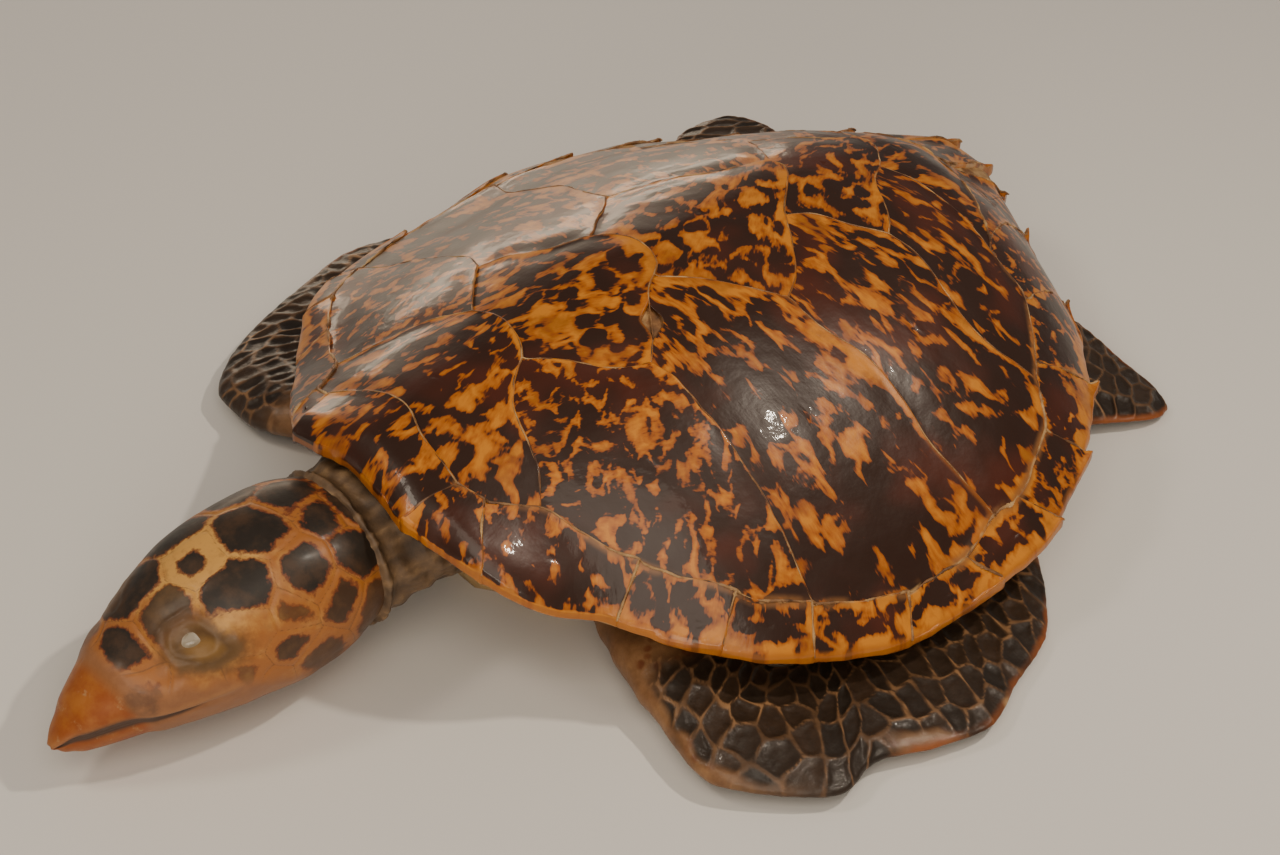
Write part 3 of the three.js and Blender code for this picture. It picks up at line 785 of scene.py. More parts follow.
# focus of the growth lines, width of the amber rear rim, lean towards amber, stretch of the flames
largeScutes = {
    "vertebral": [
        ((-10, -60), 2, 0.0, 1.4), ((-70, -210), 4, 0.03, 1.4), ((-80, 130), 4, 0.03, 1.5),
        ((-60, 190), 3, 0.01, 1.5), ((0, 40), 3, 0.02, 1.5),
    ],
    "costal": [
        ((15, -235), 2, 0.0, 0.9), ((-90, -80), 7, 0.01, 1.6), ((-90, -20), 5, 0.01, 1.6),
        ((-120, 40), 2, -0.02, 1.7),
    ],
}
nuchalLook = ((0, -110), 0.4, 0.02, 1.4)
rimLook = {
    "growth": 0.9,
    "front": (0.4, 0.04), "rear": (4.5, 0.07),  # amber rim and lean: the first two marginals, and the others
    "rimForTip": 0.4,
}
largeRings = 19
rimRings = 9
nuchalRings = 14


def largeScuteParts():
    parts = []
    number = 1
    for outline, look in zip(vertebralOutlines(), largeScutes["vertebral"]):
        parts.append(scutePart(outline, number, largeRings, look))
        number += 1
    for side in (1, -1):
        for outline, (focus, *rest) in zip(costalOutlines(side), largeScutes["costal"]):
            parts.append(scutePart(outline, number, largeRings, ((side * focus[0], focus[1]), *rest)))
            number += 1
    return parts


def rimScuteParts():
    outline, count = nuchalOutline()
    parts = [scutePart(outline, nuchalNumber, nuchalRings, nuchalLook, count)]
    for side in (1, -1):
        for i, tip in enumerate(tipLength):
            outline, count = marginalOutline(side, i)
            heart = innerPart(side, innerEnds[i], innerEnds[i + 1]).mean(0)
            outward = outline[:count].mean(0) - heart
            number = nuchalNumber + 1 + i + (20 if side < 0 else 0)
            rimWidth, bias = rimLook["rear" if i > 1 else "front"]
            if i > 1:
                rimWidth += rimLook["rimForTip"] * tip
            look = (heart - 2 * outward, rimWidth, bias, rimLook["growth"])
            parts.append(scutePart(outline, number, rimRings, look, count))
    return parts


boneForm = {
    "rows": 150, "across": 72, "below": 26, "fromFront": 7, "fromRear": 3,
    "width": 0.97, "sunk": 1.0, "sunkAtFront": 1.2, "frontY": (130, 185), "roughness": (0.5, 11),
}


def bonePart():
    form = boneForm
    start, end = shell["frontY"] + form["fromFront"], shell["rearY"] - form["fromRear"]
    y = np.linspace(start, end, form["rows"])[:, None]
    turn = np.sin((np.linspace(0, 1, form["across"])[None, :] * 2 - 1) * np.pi / 2)
    x = turn * halfWidth(turn, y) * form["width"]
    sunk = form["sunk"] + form["sunkAtFront"] * smoothStep(-y, *form["frontY"])
    sunk = sunk + frontRoll(y, skinInset(x, y))
    top = np.stack([x, y + 0 * x, shellHeight(x, y) - sunk], axis=-1)
    share = np.linspace(1, -1, form["below"])[None, :]
    x = share * halfWidth(share, y) * form["width"]
    rough = noiseOf(np.stack([x, y + 0 * x], axis=-1).reshape(-1, 2), form["roughness"], 4)
    z = shellUnderside(x, y) + rough.reshape(x.shape) - frontRoll(y, skinInset(x, y))
    under = np.stack([x, y + 0 * x, z], axis=-1)
    rings = np.concatenate([top, under], axis=1)
    return closedTube(warpPoints(rings.reshape(-1, 3)).reshape(rings.shape), {})


# varnish that has dried in the seams

seamVarnish = {
    "spacing": 0.9, "bead": 0.6, "flake": 1.1, "beadSides": 6,
    "strong": 1.3, "weak": 0.62,  # around the marginals, and between the large scutes
    "patches": (90, 3, 0.5, 0.36, 0.62),
    "flakeFrom": (0.5, 0.2, 0.2), "flakeTo": (1.2, 0.7, 0.45), "turn": (0.5, 0.3, 0.6),
    "seed": 5,
}


def beadTree(finish):
    look = seamVarnish
    tree = bpy.data.node_groups.new("seamBead", "GeometryNodeTree")
    face = tree.interface
    face.new_socket("Geometry", in_out="INPUT", socket_type="NodeSocketGeometry")
    for name in ("Spacing", "Bead", "Flake"):
        face.new_socket(name, in_out="INPUT", socket_type="NodeSocketFloat")
    face.new_socket("Seed", in_out="INPUT", socket_type="NodeSocketInt")
    face.new_socket("Geometry", in_out="OUTPUT", socket_type="NodeSocketGeometry")
    given = put(tree, "NodeGroupInput").outputs

    def randomVector(low, high):  # a random vector for each flake
        values = {"Min": low, "Max": high, "Seed": given["Seed"]}
        return put(tree, "FunctionNodeRandomValue", values, data_type="FLOAT_VECTOR").outputs[0]

    def scaled(vector, factor):
        return put(tree, "ShaderNodeVectorMath", {0: vector, 3: factor}, operation="SCALE").outputs[0]

    curve = put(tree, "GeometryNodeMeshToCurve", {0: given["Geometry"]}).outputs[0]
    values = {"Curve": curve, "Length": given["Spacing"]}
    curve = put(tree, "GeometryNodeResampleCurve", values, mode="LENGTH").outputs[0]
    place = put(tree, "GeometryNodeInputPosition").outputs[0]
    values = {"Name": "strength"}
    strength = put(tree, "GeometryNodeInputNamedAttribute", values, data_type="FLOAT").outputs[0]
    thick = times(tree, patches(tree, place, look["patches"]), strength)
    curve = put(tree, "GeometryNodeSetCurveRadius", {"Curve": curve, "Radius": thick}).outputs[0]
    values = {"Resolution": look["beadSides"], "Radius": given["Bead"]}
    profile = put(tree, "GeometryNodeCurvePrimitiveCircle", values).outputs[0]
    values = {"Curve": curve, "Profile Curve": profile, "Scale": thick, "Fill Caps": True}
    bead = put(tree, "GeometryNodeCurveToMesh", values).outputs[0]
    flake = put(tree, "GeometryNodeMeshIcoSphere", {"Radius": 1.0, "Subdivisions": 1}).outputs[0]
    points = put(tree, "GeometryNodeCurveToPoints", {"Curve": curve}, mode="EVALUATED").outputs[0]
    size = scaled(scaled(randomVector(look["flakeFrom"], look["flakeTo"]), given["Flake"]), thick)
    turn = randomVector([-angle for angle in look["turn"]], look["turn"])
    values = {"Points": points, "Instance": flake, "Rotation": turn, "Scale": size}
    flakes = put(tree, "GeometryNodeInstanceOnPoints", values).outputs[0]
    flakes = put(tree, "GeometryNodeRealizeInstances", {0: flakes}).outputs[0]
    both = put(tree, "GeometryNodeJoinGeometry", {0: bead})
    tree.links.new(flakes, both.inputs[0])
    done = put(tree, "GeometryNodeRealizeInstances", {0: both.outputs[0]}).outputs[0]
    done = put(tree, "GeometryNodeSetMaterial", {"Geometry": done, "Material": finish}).outputs[0]
    put(tree, "NodeGroupOutput", {0: done})
    return tree


def seamLines():  # each seam as plan points and how much varnish it holds
    weak, strong = seamVarnish["weak"], seamVarnish["strong"]
    lines = [(line, weak) for line in crossFine.values()]
    for side in (1, -1):
        lines += [(line, weak) for line in sideFine[side].values()]
        lines.append((innerPart(side, 0, len(innerLine) - 1), strong))
        for i in range(len(tipLength)):
            outline, count = marginalOutline(side, i)
            x, y = innerLine[innerEnds[i + 1]]
            lines.append((fineLine([outline[count - 1], (side * x, y)], seamSpacing), strong))
    return lines


def seamBeads(finish, surfaces):
    points, edges, strengths = [], [], []
    for line, strength in seamLines():
        start = len(points)
        placed = warpPoints(np.column_stack([wander(line), np.zeros(len(line))]))
        for x, y, _ in placed:
            heights = [s.ray_cast((x * mm, y * mm, 0.3), (0, 0, -1)) for s in surfaces]
            tops = [hit[1].z for hit in heights if hit[0]]
            if tops:
                points.append((x * mm, y * mm, max(tops)))
                strengths.append(strength)
        edges += [(k, k + 1) for k in range(start, len(points) - 1)]
    mesh = bpy.data.meshes.new("seamPaths")
    mesh.from_pydata(points, edges, [])
    mesh.attributes.new("strength", "FLOAT", "POINT").data.foreach_set("value", strengths)
    paths = putInScene("seamPaths", mesh)
    modifier = paths.modifiers.new("beads", "NODES")
    modifier.node_group = beadTree(finish)
    values = {name: seamVarnish[name.lower()] * mm for name in ("Spacing", "Bead", "Flake")}
    values["Seed"] = seamVarnish["seed"]
    for item in modifier.node_group.interface.items_tree:
        if item.item_type == "SOCKET" and item.in_out == "INPUT" and item.name in values:
            modifier[item.identifier] = values[item.name]
    depsgraph = bpy.context.evaluated_depsgraph_get()
    made = bpy.data.meshes.new_from_object(paths.evaluated_get(depsgraph))
    bpy.data.objects.remove(paths)
    addPiece("seam_varnish", made, "carapace")


# skin finishes

skinLook = {
    "dark": (0.018, 0.012, 0.008), "darkBrown": (0.055, 0.028, 0.014),
    "border": (0.085, 0.044, 0.021), "tan": (0.17, 0.088, 0.04), "ridge": (0.26, 0.115, 0.035),
    "orange": (0.33, 0.115, 0.022), "yellow": (0.56, 0.29, 0.07),
    "bare": (0.19, 0.09, 0.038), "fold": (0.32, 0.17, 0.075), "red": (0.12, 0.022, 0.008),
    "trim": (0.27, 0.072, 0.014), "pale": (0.18, 0.105, 0.06), "claw": (0.40, 0.24, 0.11),
}


flipperLook = {
    "fine": (160, 4, 0.6), "middling": (45, 3), "soft": (45, 5, 0.65), "wrinkles": ((420, 4, 0.65), (170,)),
    "fray": (1.4, -0.7), "plateReach": (0.3, 1.0), "borderReach": (0.2, 0.6),  # mm from a border
    "dotScale": 170.0, "dotReach": (0.25, 0.5), "dotPatches": (35, 2, 0.5, 0.5, 0.62), "dots": 0.7,
    "pale": 0.75,
    "trim": 0.8, "trimFray": 4, "trimReach": (2.5, 6.5), "trimPatches": (25, 2, 0.5, 0.36, 0.6),
    "rough": (0.4, 0.25), "bump": (0.5, 0.5),
}


def flipperFinish():  # fields: plates (mm from a border, tone, bareness), edge (mm from it, paleness, claw)
    look, form = skinLook, flipperLook
    finish, tree, shader = newFinish("flipperScales", Coat_Weight=0.15, Coat_Roughness=0.07, IOR=1.38)
    border, tone, bare = split(tree, field(tree, "plates")[0])
    trim, pale, claw = split(tree, field(tree, "edge")[0])
    place = objectPlace(tree)
    fine = noise(tree, place, *form["fine"])
    plate = mixColours(tree, times(tree, tone, fine), look["dark"], look["darkBrown"])
    inside = between(tree, plus(tree, border, spread(tree, fine, *form["fray"])), *form["plateReach"])
    bright = ramp(tree, noise(tree, place, *form["middling"]), [
        (0.4, look["border"]), (0.55, look["tan"]), (0.72, look["fold"]),
    ])
    line = mixColours(tree, between(tree, border, *form["borderReach"]), bright, look["border"])
    colour = mixColours(tree, inside, line, plate)
    skin = ramp(tree, noise(tree, place, *form["soft"]), [
        (0.3, look["border"]), (0.5, look["bare"]), (0.72, look["fold"]),
    ])
    dots = put(tree, "ShaderNodeTexVoronoi", {"Vector": place, "Scale": form["dotScale"]}).outputs["Distance"]
    dots = times(tree, below(tree, dots, *form["dotReach"]), patches(tree, place, form["dotPatches"]))
    skin = mixColours(tree, times(tree, dots, form["dots"]), skin, look["red"])
    skin = mixColours(tree, times(tree, pale, form["pale"]), skin, look["pale"])
    colour = mixColours(tree, bare, colour, skin)
    edge = below(tree, plus(tree, trim, times(tree, fine, form["trimFray"])), *form["trimReach"])
    edge = times(tree, edge, patches(tree, place, form["trimPatches"]))
    colour = mixColours(tree, times(tree, edge, form["trim"]), colour, look["trim"])
    colour = mixColours(tree, claw, colour, look["claw"])
    paintWith(tree, shader, colour, spread(tree, fine, *form["rough"]))
    wrinkles = plus(tree, *(noise(tree, place, *wrinkle) for wrinkle in form["wrinkles"]))
    bumpInto(tree, shader, wrinkles, *form["bump"], coat=True)
    return finish


headLook = {
    "horn": (0.27, 0.062, 0.006), "paleHorn": (0.36, 0.12, 0.02), "wornHorn": (0.40, 0.22, 0.09),
    "throat": (0.19, 0.07, 0.025), "paleThroat": (0.34, 0.15, 0.06), "throatPlate": (0.045, 0.028, 0.022),
    "lids": [
        (0.3, (0.20, 0.10, 0.02)), (0.55, (0.10, 0.048, 0.012)), (0.75, (0.14, 0.07, 0.022)),
        (1.0, (0.15, 0.065, 0.02)),
    ],
    # mouth: painted shade inside the mouth's gap
    "lip": (0.36, 0.17, 0.065), "mouth": (0.06, 0.026, 0.014),
    "fine": (220, 5, 0.65), "middling": (85, 4, 0.6), "teeth": (420, 3, 0.6),
    "ragged": ((3.6, -1.8), (10, -5)),  # how far the plates' edges fray, finely and widely
    "crownShare": 0.45, "middlingShare": 0.8, "yellowReach": (0.4, 0.75),
    "ridges": 0.4, "ridgeReach": (0.5, 0.7), "borders": 0.45, "borderReach": (0.1, 0.35),
    "brownReach": (0.42, 0.7), "plateReach": (-0.3, 0.6),
    "fringe": 0.8, "fringeStart": (-1.3, -0.1), "fringeEnd": (0, 0.9),  # red around the dark plates
    "hornReach": (0.35, 0.7), "wornPatches": (110, 4, 0.7, 0.56, 0.7),
    "throatPlates": 0.8, "throatReach": (0.0, 3.5),
    "lidTones": (0.5, -0.25), "lidFray": (1.2, -0.6), "lidReach": (0.7, 1.35),
    "lipShare": 0.5, "mouthReach": (0.15, 0.75),
    "rough": (0.3, 0.32), "bump": (0.45, 0.35),
}


def platePattern(tree, border, darkness, depth, fine, mid, crown):  # dark plates in yellow and orange skin
    look, form = skinLook, headLook
    patchy = plus(tree, times(tree, crown, form["crownShare"]), times(tree, mid, form["middlingShare"]))
    pale = mixColours(tree, between(tree, patchy, *form["yellowReach"]), look["orange"], look["yellow"])
    ridges = times(tree, between(tree, fine, *form["ridgeReach"]), form["ridges"])
    pale = mixColours(tree, ridges, pale, look["ridge"])
    borders = times(tree, below(tree, border, *form["borderReach"]), form["borders"])
    pale = mixColours(tree, borders, pale, look["darkBrown"])
    dark = mixColours(tree, between(tree, mid, *form["brownReach"]), look["dark"], look["darkBrown"])
    onPlate = times(tree, between(tree, depth, *form["plateReach"]), darkness)
    colour = mixColours(tree, onPlate, pale, dark)
    fringe = times(tree, between(tree, depth, *form["fringeStart"]), below(tree, depth, *form["fringeEnd"]))
    fringe = times(tree, fringe, times(tree, darkness, form["fringe"]))
    return mixColours(tree, fringe, colour, look["red"])


# fields: plates (mm from a border, darkness, border width), face (beak, way from the eye, underside) and
# mouth (gap, lip, crown)
def headFinish():
    look = headLook
    finish, tree, shader = newFinish("headPlates", Coat_Weight=0.08, Coat_Roughness=0.2, IOR=1.42)
    border, darkness, width = split(tree, field(tree, "plates")[0])
    beak, fromEye, under = split(tree, field(tree, "face")[0])
    gap, lip, crown = split(tree, field(tree, "mouth")[0])
    place = objectPlace(tree)
    fine, mid, teeth = (noise(tree, place, *look[name]) for name in ("fine", "middling", "teeth"))
    finely, widely = look["ragged"]
    ragged = plus(tree, spread(tree, teeth, *finely), spread(tree, mid, *widely))
    depth = calc(tree, "SUBTRACT", plus(tree, border, ragged), width)
    colour = platePattern(tree, border, darkness, depth, fine, mid, crown)
    horn = mixColours(tree, between(tree, mid, *look["hornReach"]), look["horn"], look["paleHorn"])
    horn = mixColours(tree, patches(tree, place, look["wornPatches"]), horn, look["wornHorn"])
    colour = mixColours(tree, beak, colour, horn)
    throat = mixColours(tree, fine, look["throat"], look["paleThroat"])
    blurred = times(tree, darkness, look["throatPlates"])
    blurred = times(tree, between(tree, depth, *look["throatReach"]), blurred)
    colour = mixColours(tree, under, colour, mixColours(tree, blurred, throat, look["throatPlate"]))
    lids = ramp(tree, plus(tree, fromEye, spread(tree, mid, *look["lidTones"])), look["lids"])
    onLids = below(tree, plus(tree, fromEye, spread(tree, mid, *look["lidFray"])), *look["lidReach"])
    colour = mixColours(tree, onLids, colour, lids)
    colour = mixColours(tree, times(tree, lip, look["lipShare"]), colour, look["lip"])
    # the mouth's gap is painted dark: painted shade inside the slightly open mouth
    colour = mixColours(tree, between(tree, gap, *look["mouthReach"]), colour, look["mouth"])
    paintWith(tree, shader, colour, spread(tree, fine, *look["rough"]))
    bumpInto(tree, shader, fine, *look["bump"])
    return finish


def bareSkinFinish():
    finish, tree, shader = newFinish("driedSkin")
    place = objectPlace(tree)
    fine = noise(tree, place, 150, 5, 0.65)
    # paler on the crests of the wrinkles and darker in their creases: a painted highlight on the crests and
    # painted shade in the creases
    tone = plus(tree, times(tree, field(tree, "ridge")[1], 0.5), times(tree, fine, 0.5))
    colour = ramp(tree, tone, [
        (0.25, (0.022, 0.013, 0.008)), (0.5, (0.085, 0.05, 0.026)), (0.68, (0.16, 0.095, 0.048)),
        (0.85, (0.34, 0.21, 0.10)),
    ])
    paintWith(tree, shader, colour, spread(tree, fine, 0.3, 0.4))
    bumpInto(tree, shader, noise(tree, place, 380, 5, 0.7), 0.6, 0.5)
    return finish


def plastronFinish():
    finish, tree, shader = newFinish("paleHorn", Coat_Weight=0.3, Coat_Roughness=0.2)
    place = objectPlace(tree)
    mid = noise(tree, place, 22, 4, 0.6)
    colour = ramp(tree, mid, [
        (0.3, (0.30, 0.16, 0.06)), (0.5, (0.52, 0.34, 0.14)), (0.75, (0.66, 0.47, 0.23)),
    ])
    line = below(tree, field(tree, "seam")[1], 0.4, 1.6)
    colour = mixColours(tree, times(tree, line, 0.75), colour, (0.12, 0.06, 0.03))
    paintWith(tree, shader, colour, spread(tree, mid, 0.3, 0.25))
    bumpInto(tree, shader, noise(tree, place, 180, 4, 0.6), 0.3, 0.3)
    return finish


# head and neck

def sectionSurface(sections, rows, cols, power=0.85, ease=1.0):  # sections: x, y, z, half width, rise, drop
    y = lerp(sections[0][1], sections[-1][1], np.linspace(0, 1, rows) ** ease)[:, None]
    x, z, half, rise, drop = (smoothCurve([(s[1], s[k]) for s in sections])(y) for k in (0, 2, 3, 4, 5))
    angle = np.arange(cols)[None, :] / cols * 2 * np.pi
    across = np.sign(np.cos(angle)) * np.abs(np.cos(angle)) ** power
    height = np.where(np.sin(angle) > 0, rise, drop)
    return np.stack([x + half * across, y + 0 * across, z + height * np.sin(angle)], axis=-1)


def nearestPlates(points, seeds, weights):  # mm from the border between two plates, and the plate's number
    distance = np.linalg.norm(points[:, None] - seeds[None], axis=2) - weights[None]
    order = np.argsort(distance, axis=1)[:, :2]
    first = np.take_along_axis(distance, order[:, :1], axis=1)[:, 0]
    second = np.take_along_axis(distance, order[:, 1:], axis=1)[:, 0]
    return (second - first) / 2, order[:, 0]


head = {
    "sections": [
        (-1, -361, 22, 2, 2, 2), (-1, -356, 25, 7, 7, 10), (-1, -344, 31, 14.5, 13, 18),
        (-1, -326, 38, 23, 20, 26), (-1, -304, 44, 32.5, 28, 31), (-1, -280, 48, 39.5, 34, 36),
        (0, -254, 50, 42, 37, 39), (0, -232, 52, 41, 34, 39), (0, -214, 53, 36, 28, 36),
    ],
    "plates": [  # x, y, z of the plate's middle, extra reach, darkness, border width
        (-6, -233, 85, 0, 1, 1.6), (9, -226, 84, -1, 1, 1.4), (9, -216, 81, -1, 1, 1.2),
        (1, -260, 86, 2, 1, 2.2), (-25, -277, 75, 0, 1, 1.6), (-2, -284, 80, 0, 1, 6.5),
        (-15, -306, 68, 0, 1, 1.6), (5, -305, 71, -1, 0.9, 2.2), (20, -278, 77, 1, 1, 1.3),
        (31, -250, 75, 0, 1, 3.4), (-26, -250, 77, 0, 1, 2), (1, -326, 57, -1, 1, 3.0),
        (17, -331, 44, -2, 0.6, 4.6), (-17, -331, 44, -2, 0.6, 3.2), (33, -284, 63, 0, 0, 3),
        (0, -230, 18, 3, 0, 3), (0, -260, 16, 3, 0, 3), (0, -290, 18, 3, 0, 3), (0, -340, 44, 2, 0, 3),
    ],
    "pairedPlates": [  # the same on both sides
        (31, -224, 72, 0, 1, 1.6), (38, -238, 62, 0, 0.9, 3), (38, -224, 53, -1, 0.8, 2.4),
        (36, -262, 65, -2, 0.7, 3.5), (39, -266, 52, -1, 0.9, 3.6), (39, -254, 40, 0, 0.8, 4.2),
        (35, -287, 45, 0, 0.6, 4.6), (30, -300, 40, 0, 0, 3), (36, -276, 34, 0, 0, 3),
    ],
    "plateWave": (1.2, 9),  # how far the plates' borders wander, and over what length
    "grooveDepth": 0.45, "grooveWidth": 0.6,
    "cheek": [(-361, 70), (-336, 58), (-318, 47), (-300, 48), (-285, 42), (-268, 34), (-250, 28), (-214, 24)],
    "throatFold": 1.4, "throatY": (-350, -320), "throatRough": (0.25, 5), "underFray": (2, 8), "underHalf": 4,
    "beakY": (-338, -330), "beakSlant": 0.5, "beakZ": 45,
    "crown": (0, -282, 80), "crownReach": 30,  # the yellow forehead
    "unevenness": (0.35, 14),
    "noseDip": 0.9, "noseY": (348, 354),
}
mouth = {
    "line": [(-361, 21), (-355, 26), (-347, 29), (-336, 32), (-323, 33), (-306, 37), (-286, 41)],
    "gape": [(-361, 0.6), (-350, 3.4), (-336, 4.0), (-322, 2.4), (-304, 0.8)],
    "depth": 1.7, "endY": (-318, -296),
    "lipAbove": 2.6, "lipWidth": 1.6, "lip": 0.6, "lipEndY": (-300, -280),
    "jawStep": 1.2, "jawEndY": (-335, -300),
}
eye = {
    "middle": (23, -303, 64),
    "lidSize": (20, 12, 15), "lidSlant": 0.18,
    "lidFolds": [(0.6, 0.55, 0.13), (0.4, 0.9, 0.12)],  # height, place and width, by the share of the way out
    "hollow": (2.0, 0.34), "wrinkle": (0.35, 2.6), "wrinkleEnd": (0.8, 1.2), "lidWave": (0.12, 9),
    "lidMiddle": (4, -3, 2),  # the brown of the lids lies a little behind and below the eye
    "ball": (3.1, 8.8, 5.2),  # half its depth, length and height
    "turn": 0.3,  # how much the ball follows the head's widening towards the back
    "back": 3.5, "depth": 1.5, "inwards": 0.4, "headMiddle": -1,
    "farDrop": 8, "farLids": 0.4,  # the right eye lies lower and flatter
}


def mouthForm(y, z):  # the mouth's gap, the lip above it and the step back to the lower jaw; the gap also carries the painted shade inside the mouth
    above = z - smoothCurve(mouth["line"])(y)
    gap = bell(above, smoothCurve(mouth["gape"])(y)) * (1 - smoothStep(y, *mouth["endY"]))
    lip = bell(above - mouth["lipAbove"], mouth["lipWidth"]) * (1 - smoothStep(y, *mouth["lipEndY"]))
    jaw = smoothStep(-above, 0, 3) * (1 - smoothStep(y, *mouth["jawEndY"]))
    return gap, lip, jaw


def eyeLids(flat):  # share of the way out of the lids, the same for their colour, and their height
    x, y, z = flat.T
    ex, ey, ez = eye["middle"]
    isFar = x < 0
    up = z - ez + np.where(isFar, eye["farDrop"], 0) + eye["lidSlant"] * (y - ey)
    offsets = np.stack([y - ey, up, np.abs(x) - ex], axis=1)
    share = np.linalg.norm(offsets / eye["lidSize"], axis=1)
    tone = np.linalg.norm((offsets - eye["lidMiddle"]) / eye["lidSize"], axis=1)
    wrinkles = noiseOf(flat * (1, 0.5, 1), eye["wrinkle"], 16) * (1 - smoothStep(share, *eye["wrinkleEnd"]))
    wave = noiseOf(flat, eye["lidWave"], 18)
    folds = sum(
        height * bell(share + (i + 1) * wave - place, width)
        for i, (height, place, width) in enumerate(eye["lidFolds"])
    )
    depth, width = eye["hollow"]
    lids = folds - depth * bell(share, width)
    return share, tone, (lids + wrinkles) * np.where(isFar, eye["farLids"], 1)


def headPart():
    rings = sectionSurface(head["sections"], 240, 220, ease=1.15)
    normals = surfaceNormals(rings)
    flat = rings.reshape(-1, 3)
    mirrored = [(-x, *rest) for x, *rest in head["pairedPlates"]]
    table = np.array(head["plates"] + head["pairedPlates"] + mirrored, float)
    waved = flat + np.stack([noiseOf(flat, head["plateWave"], seed) for seed in (11, 12, 13)], axis=1)
    border, plate = nearestPlates(waved, table[:, :3], table[:, 3])
    x, y, z = flat.T
    gap, lip, jaw = mouthForm(y, z)
    lidShare, lidTone, lids = eyeLids(flat)
    beak = 1 - smoothStep(y + head["beakSlant"] * (z - head["beakZ"]), *head["beakY"])
    belowCheek = smoothCurve(head["cheek"])(y) - z + noiseOf(flat, head["underFray"], 17)
    under = smoothStep(belowCheek, -head["underHalf"], head["underHalf"]) * (1 - beak)
    onPlates = smoothStep(lidShare, 0.9, 1.2) * (1 - beak) * (1 - under)
    shift = lids - head["grooveDepth"] * bell(border, head["grooveWidth"]) * onPlates
    shift += mouth["lip"] * lip - mouth["depth"] * gap - mouth["jawStep"] * jaw
    fold = head["throatFold"] + noiseOf(flat, head["throatRough"], 15)
    shift += noiseOf(flat, head["unevenness"], 14) + fold * under * smoothStep(y, *head["throatY"])
    shift -= head["noseDip"] * smoothStep(-y, *head["noseY"])
    rings = rings + normals * shift.reshape(rings.shape[:2] + (1,))
    crown = bell(np.linalg.norm(flat - head["crown"], axis=1), head["crownReach"])
    fields = {
        "plates": [border, table[plate, 4], table[plate, 5]],
        "face": [beak, np.minimum(lidTone, 2), under],
        "mouth": [gap, lip, crown],
    }
    fields = {key: np.stack(values, axis=1).reshape(rings.shape) for key, values in fields.items()}
    return closedTube(rings, fields)


def eyePart(side, rows=24, cols=40):
    ex, ey, ez = eye["middle"]
    deep, long, tall = eye["ball"]
    polar = np.linspace(0.02, np.pi - 0.02, rows)[:, None]
    turn = np.arange(cols)[None, :] / cols * 2 * np.pi
    along = np.sin(polar) * np.sin(turn) * long
    out = np.sin(polar) * np.cos(turn) * deep + along * eye["turn"]
    up = np.cos(polar) * tall + 0 * turn
    lean = np.sqrt(0.5)  # the eye looks half outwards and half up
    ball = np.stack([side * lean * (out - up), along, lean * (out + up)], axis=-1)
    drop = eye["farDrop"] if side < 0 else 0
    sunk = eye["depth"] * lean
    middle = (side * (ex - eye["inwards"] - sunk) + eye["headMiddle"], ey + eye["back"], ez - sunk - drop)
    return closedTube(ball + middle, {})


def eyeFinish():
    finish, tree, shader = newFinish("cloudedEye", Roughness=0.3, Coat_Weight=0.3)
    cloud = noise(tree, objectPlace(tree), 140)
    paintWith(tree, shader, ramp(tree, cloud, [(0.4, (0.22, 0.17, 0.105)), (0.6, (0.33, 0.28, 0.21))]))
    return finish


neck = {
    "sections": [
        (0, -222, 53, 34, 25, 34), (0, -214, 53, 37, 28, 36), (0, -204, 54, 37.5, 27, 36),
        (0, -194, 55, 39, 27, 33), (0, -184, 56, 42, 29, 30), (0, -172, 56, 43, 30, 27),
    ],
    "folds": 1.2,
    "collar": [(-214.5, 2.2, 1.8), (-209, -0.8, 3.0)],  # y, height and width of the fold behind the head
    "collarWave": (2.0, 22),
    "crust": 1.2, "crustSize": 4.5, "crustY": (-200, -188),
    "drawn": 0.6, "drawnLength": 2.6, "drawnSlant": 0.7, "drawnWave": (4, 20),  # slanting lines of tight skin
    "drawnY": (-213, -205),
}


def neckRings():
    rings = sectionSurface(neck["sections"], 140, 170)
    flat = rings.reshape(-1, 3)
    y = (flat[:, 1] + noiseOf(flat * (1, 0.2, 1), neck["collarWave"], 48)).reshape(rings.shape[:2])
    shift = sum(height * bell(y - place, width) for place, height, width in neck["collar"])
    crust = softNoise(flat, neck["crustSize"], 50).reshape(y.shape)
    crust = crust * smoothStep(rings[..., 1], *neck["crustY"])
    slant = flat[:, 1] + neck["drawnSlant"] * flat[:, 2] + noiseOf(flat, neck["drawnWave"], 51)
    drawn = np.cos(slant / neck["drawnLength"]).reshape(y.shape) * smoothStep(rings[..., 1], *neck["drawnY"])
    return rings + surfaceNormals(rings) * (shift + neck["crust"] * crust + neck["drawn"] * drawn)[..., None]


def underShell(rings):  # keeps skin below the shell's underside
    x, y, z = rings[..., 0], rings[..., 1], rings[..., 2]
    ceiling = shellUnderside(x, y) - shell["skinGap"] - frontRoll(y, skinInset(x, y))
    rings[..., 2] = np.minimum(z, ceiling)
    return rings


skinFolds = {
    "ringWise": (1, 0.28, 1), "upright": (0.4, 1, 0.5),  # which way the wrinkles run
    "large": (0.6, 7), "small": (0.4, 3.5),  # share of the height, and size
    "inset": 0.4,
}


def foldedSkin(rings, folds, way, seed):  # wrinkles, with a field that is high on the ridges; the skin's colour follows it as a painted highlight on the crests and painted shade in the creases
    flat = rings.reshape(-1, 3)
    stretched = flat * skinFolds[way]
    ridge = sum(
        share * (1 - 2 * np.abs(softNoise(stretched, size, seed + i)))
        for i, (share, size) in enumerate((skinFolds["large"], skinFolds["small"]))
    )
    shift = (folds * ridge - skinFolds["inset"] * folds).reshape(rings.shape[:2] + (1,))
    moved = underShell(rings + surfaceNormals(rings) * shift)
    moved[..., 2] = np.maximum(moved[..., 2], 0)
    return closedTube(moved, {"ridge": np.clip(0.5 + 0.5 * ridge, 0, 1).reshape(rings.shape[:2])})


# skin between the shells

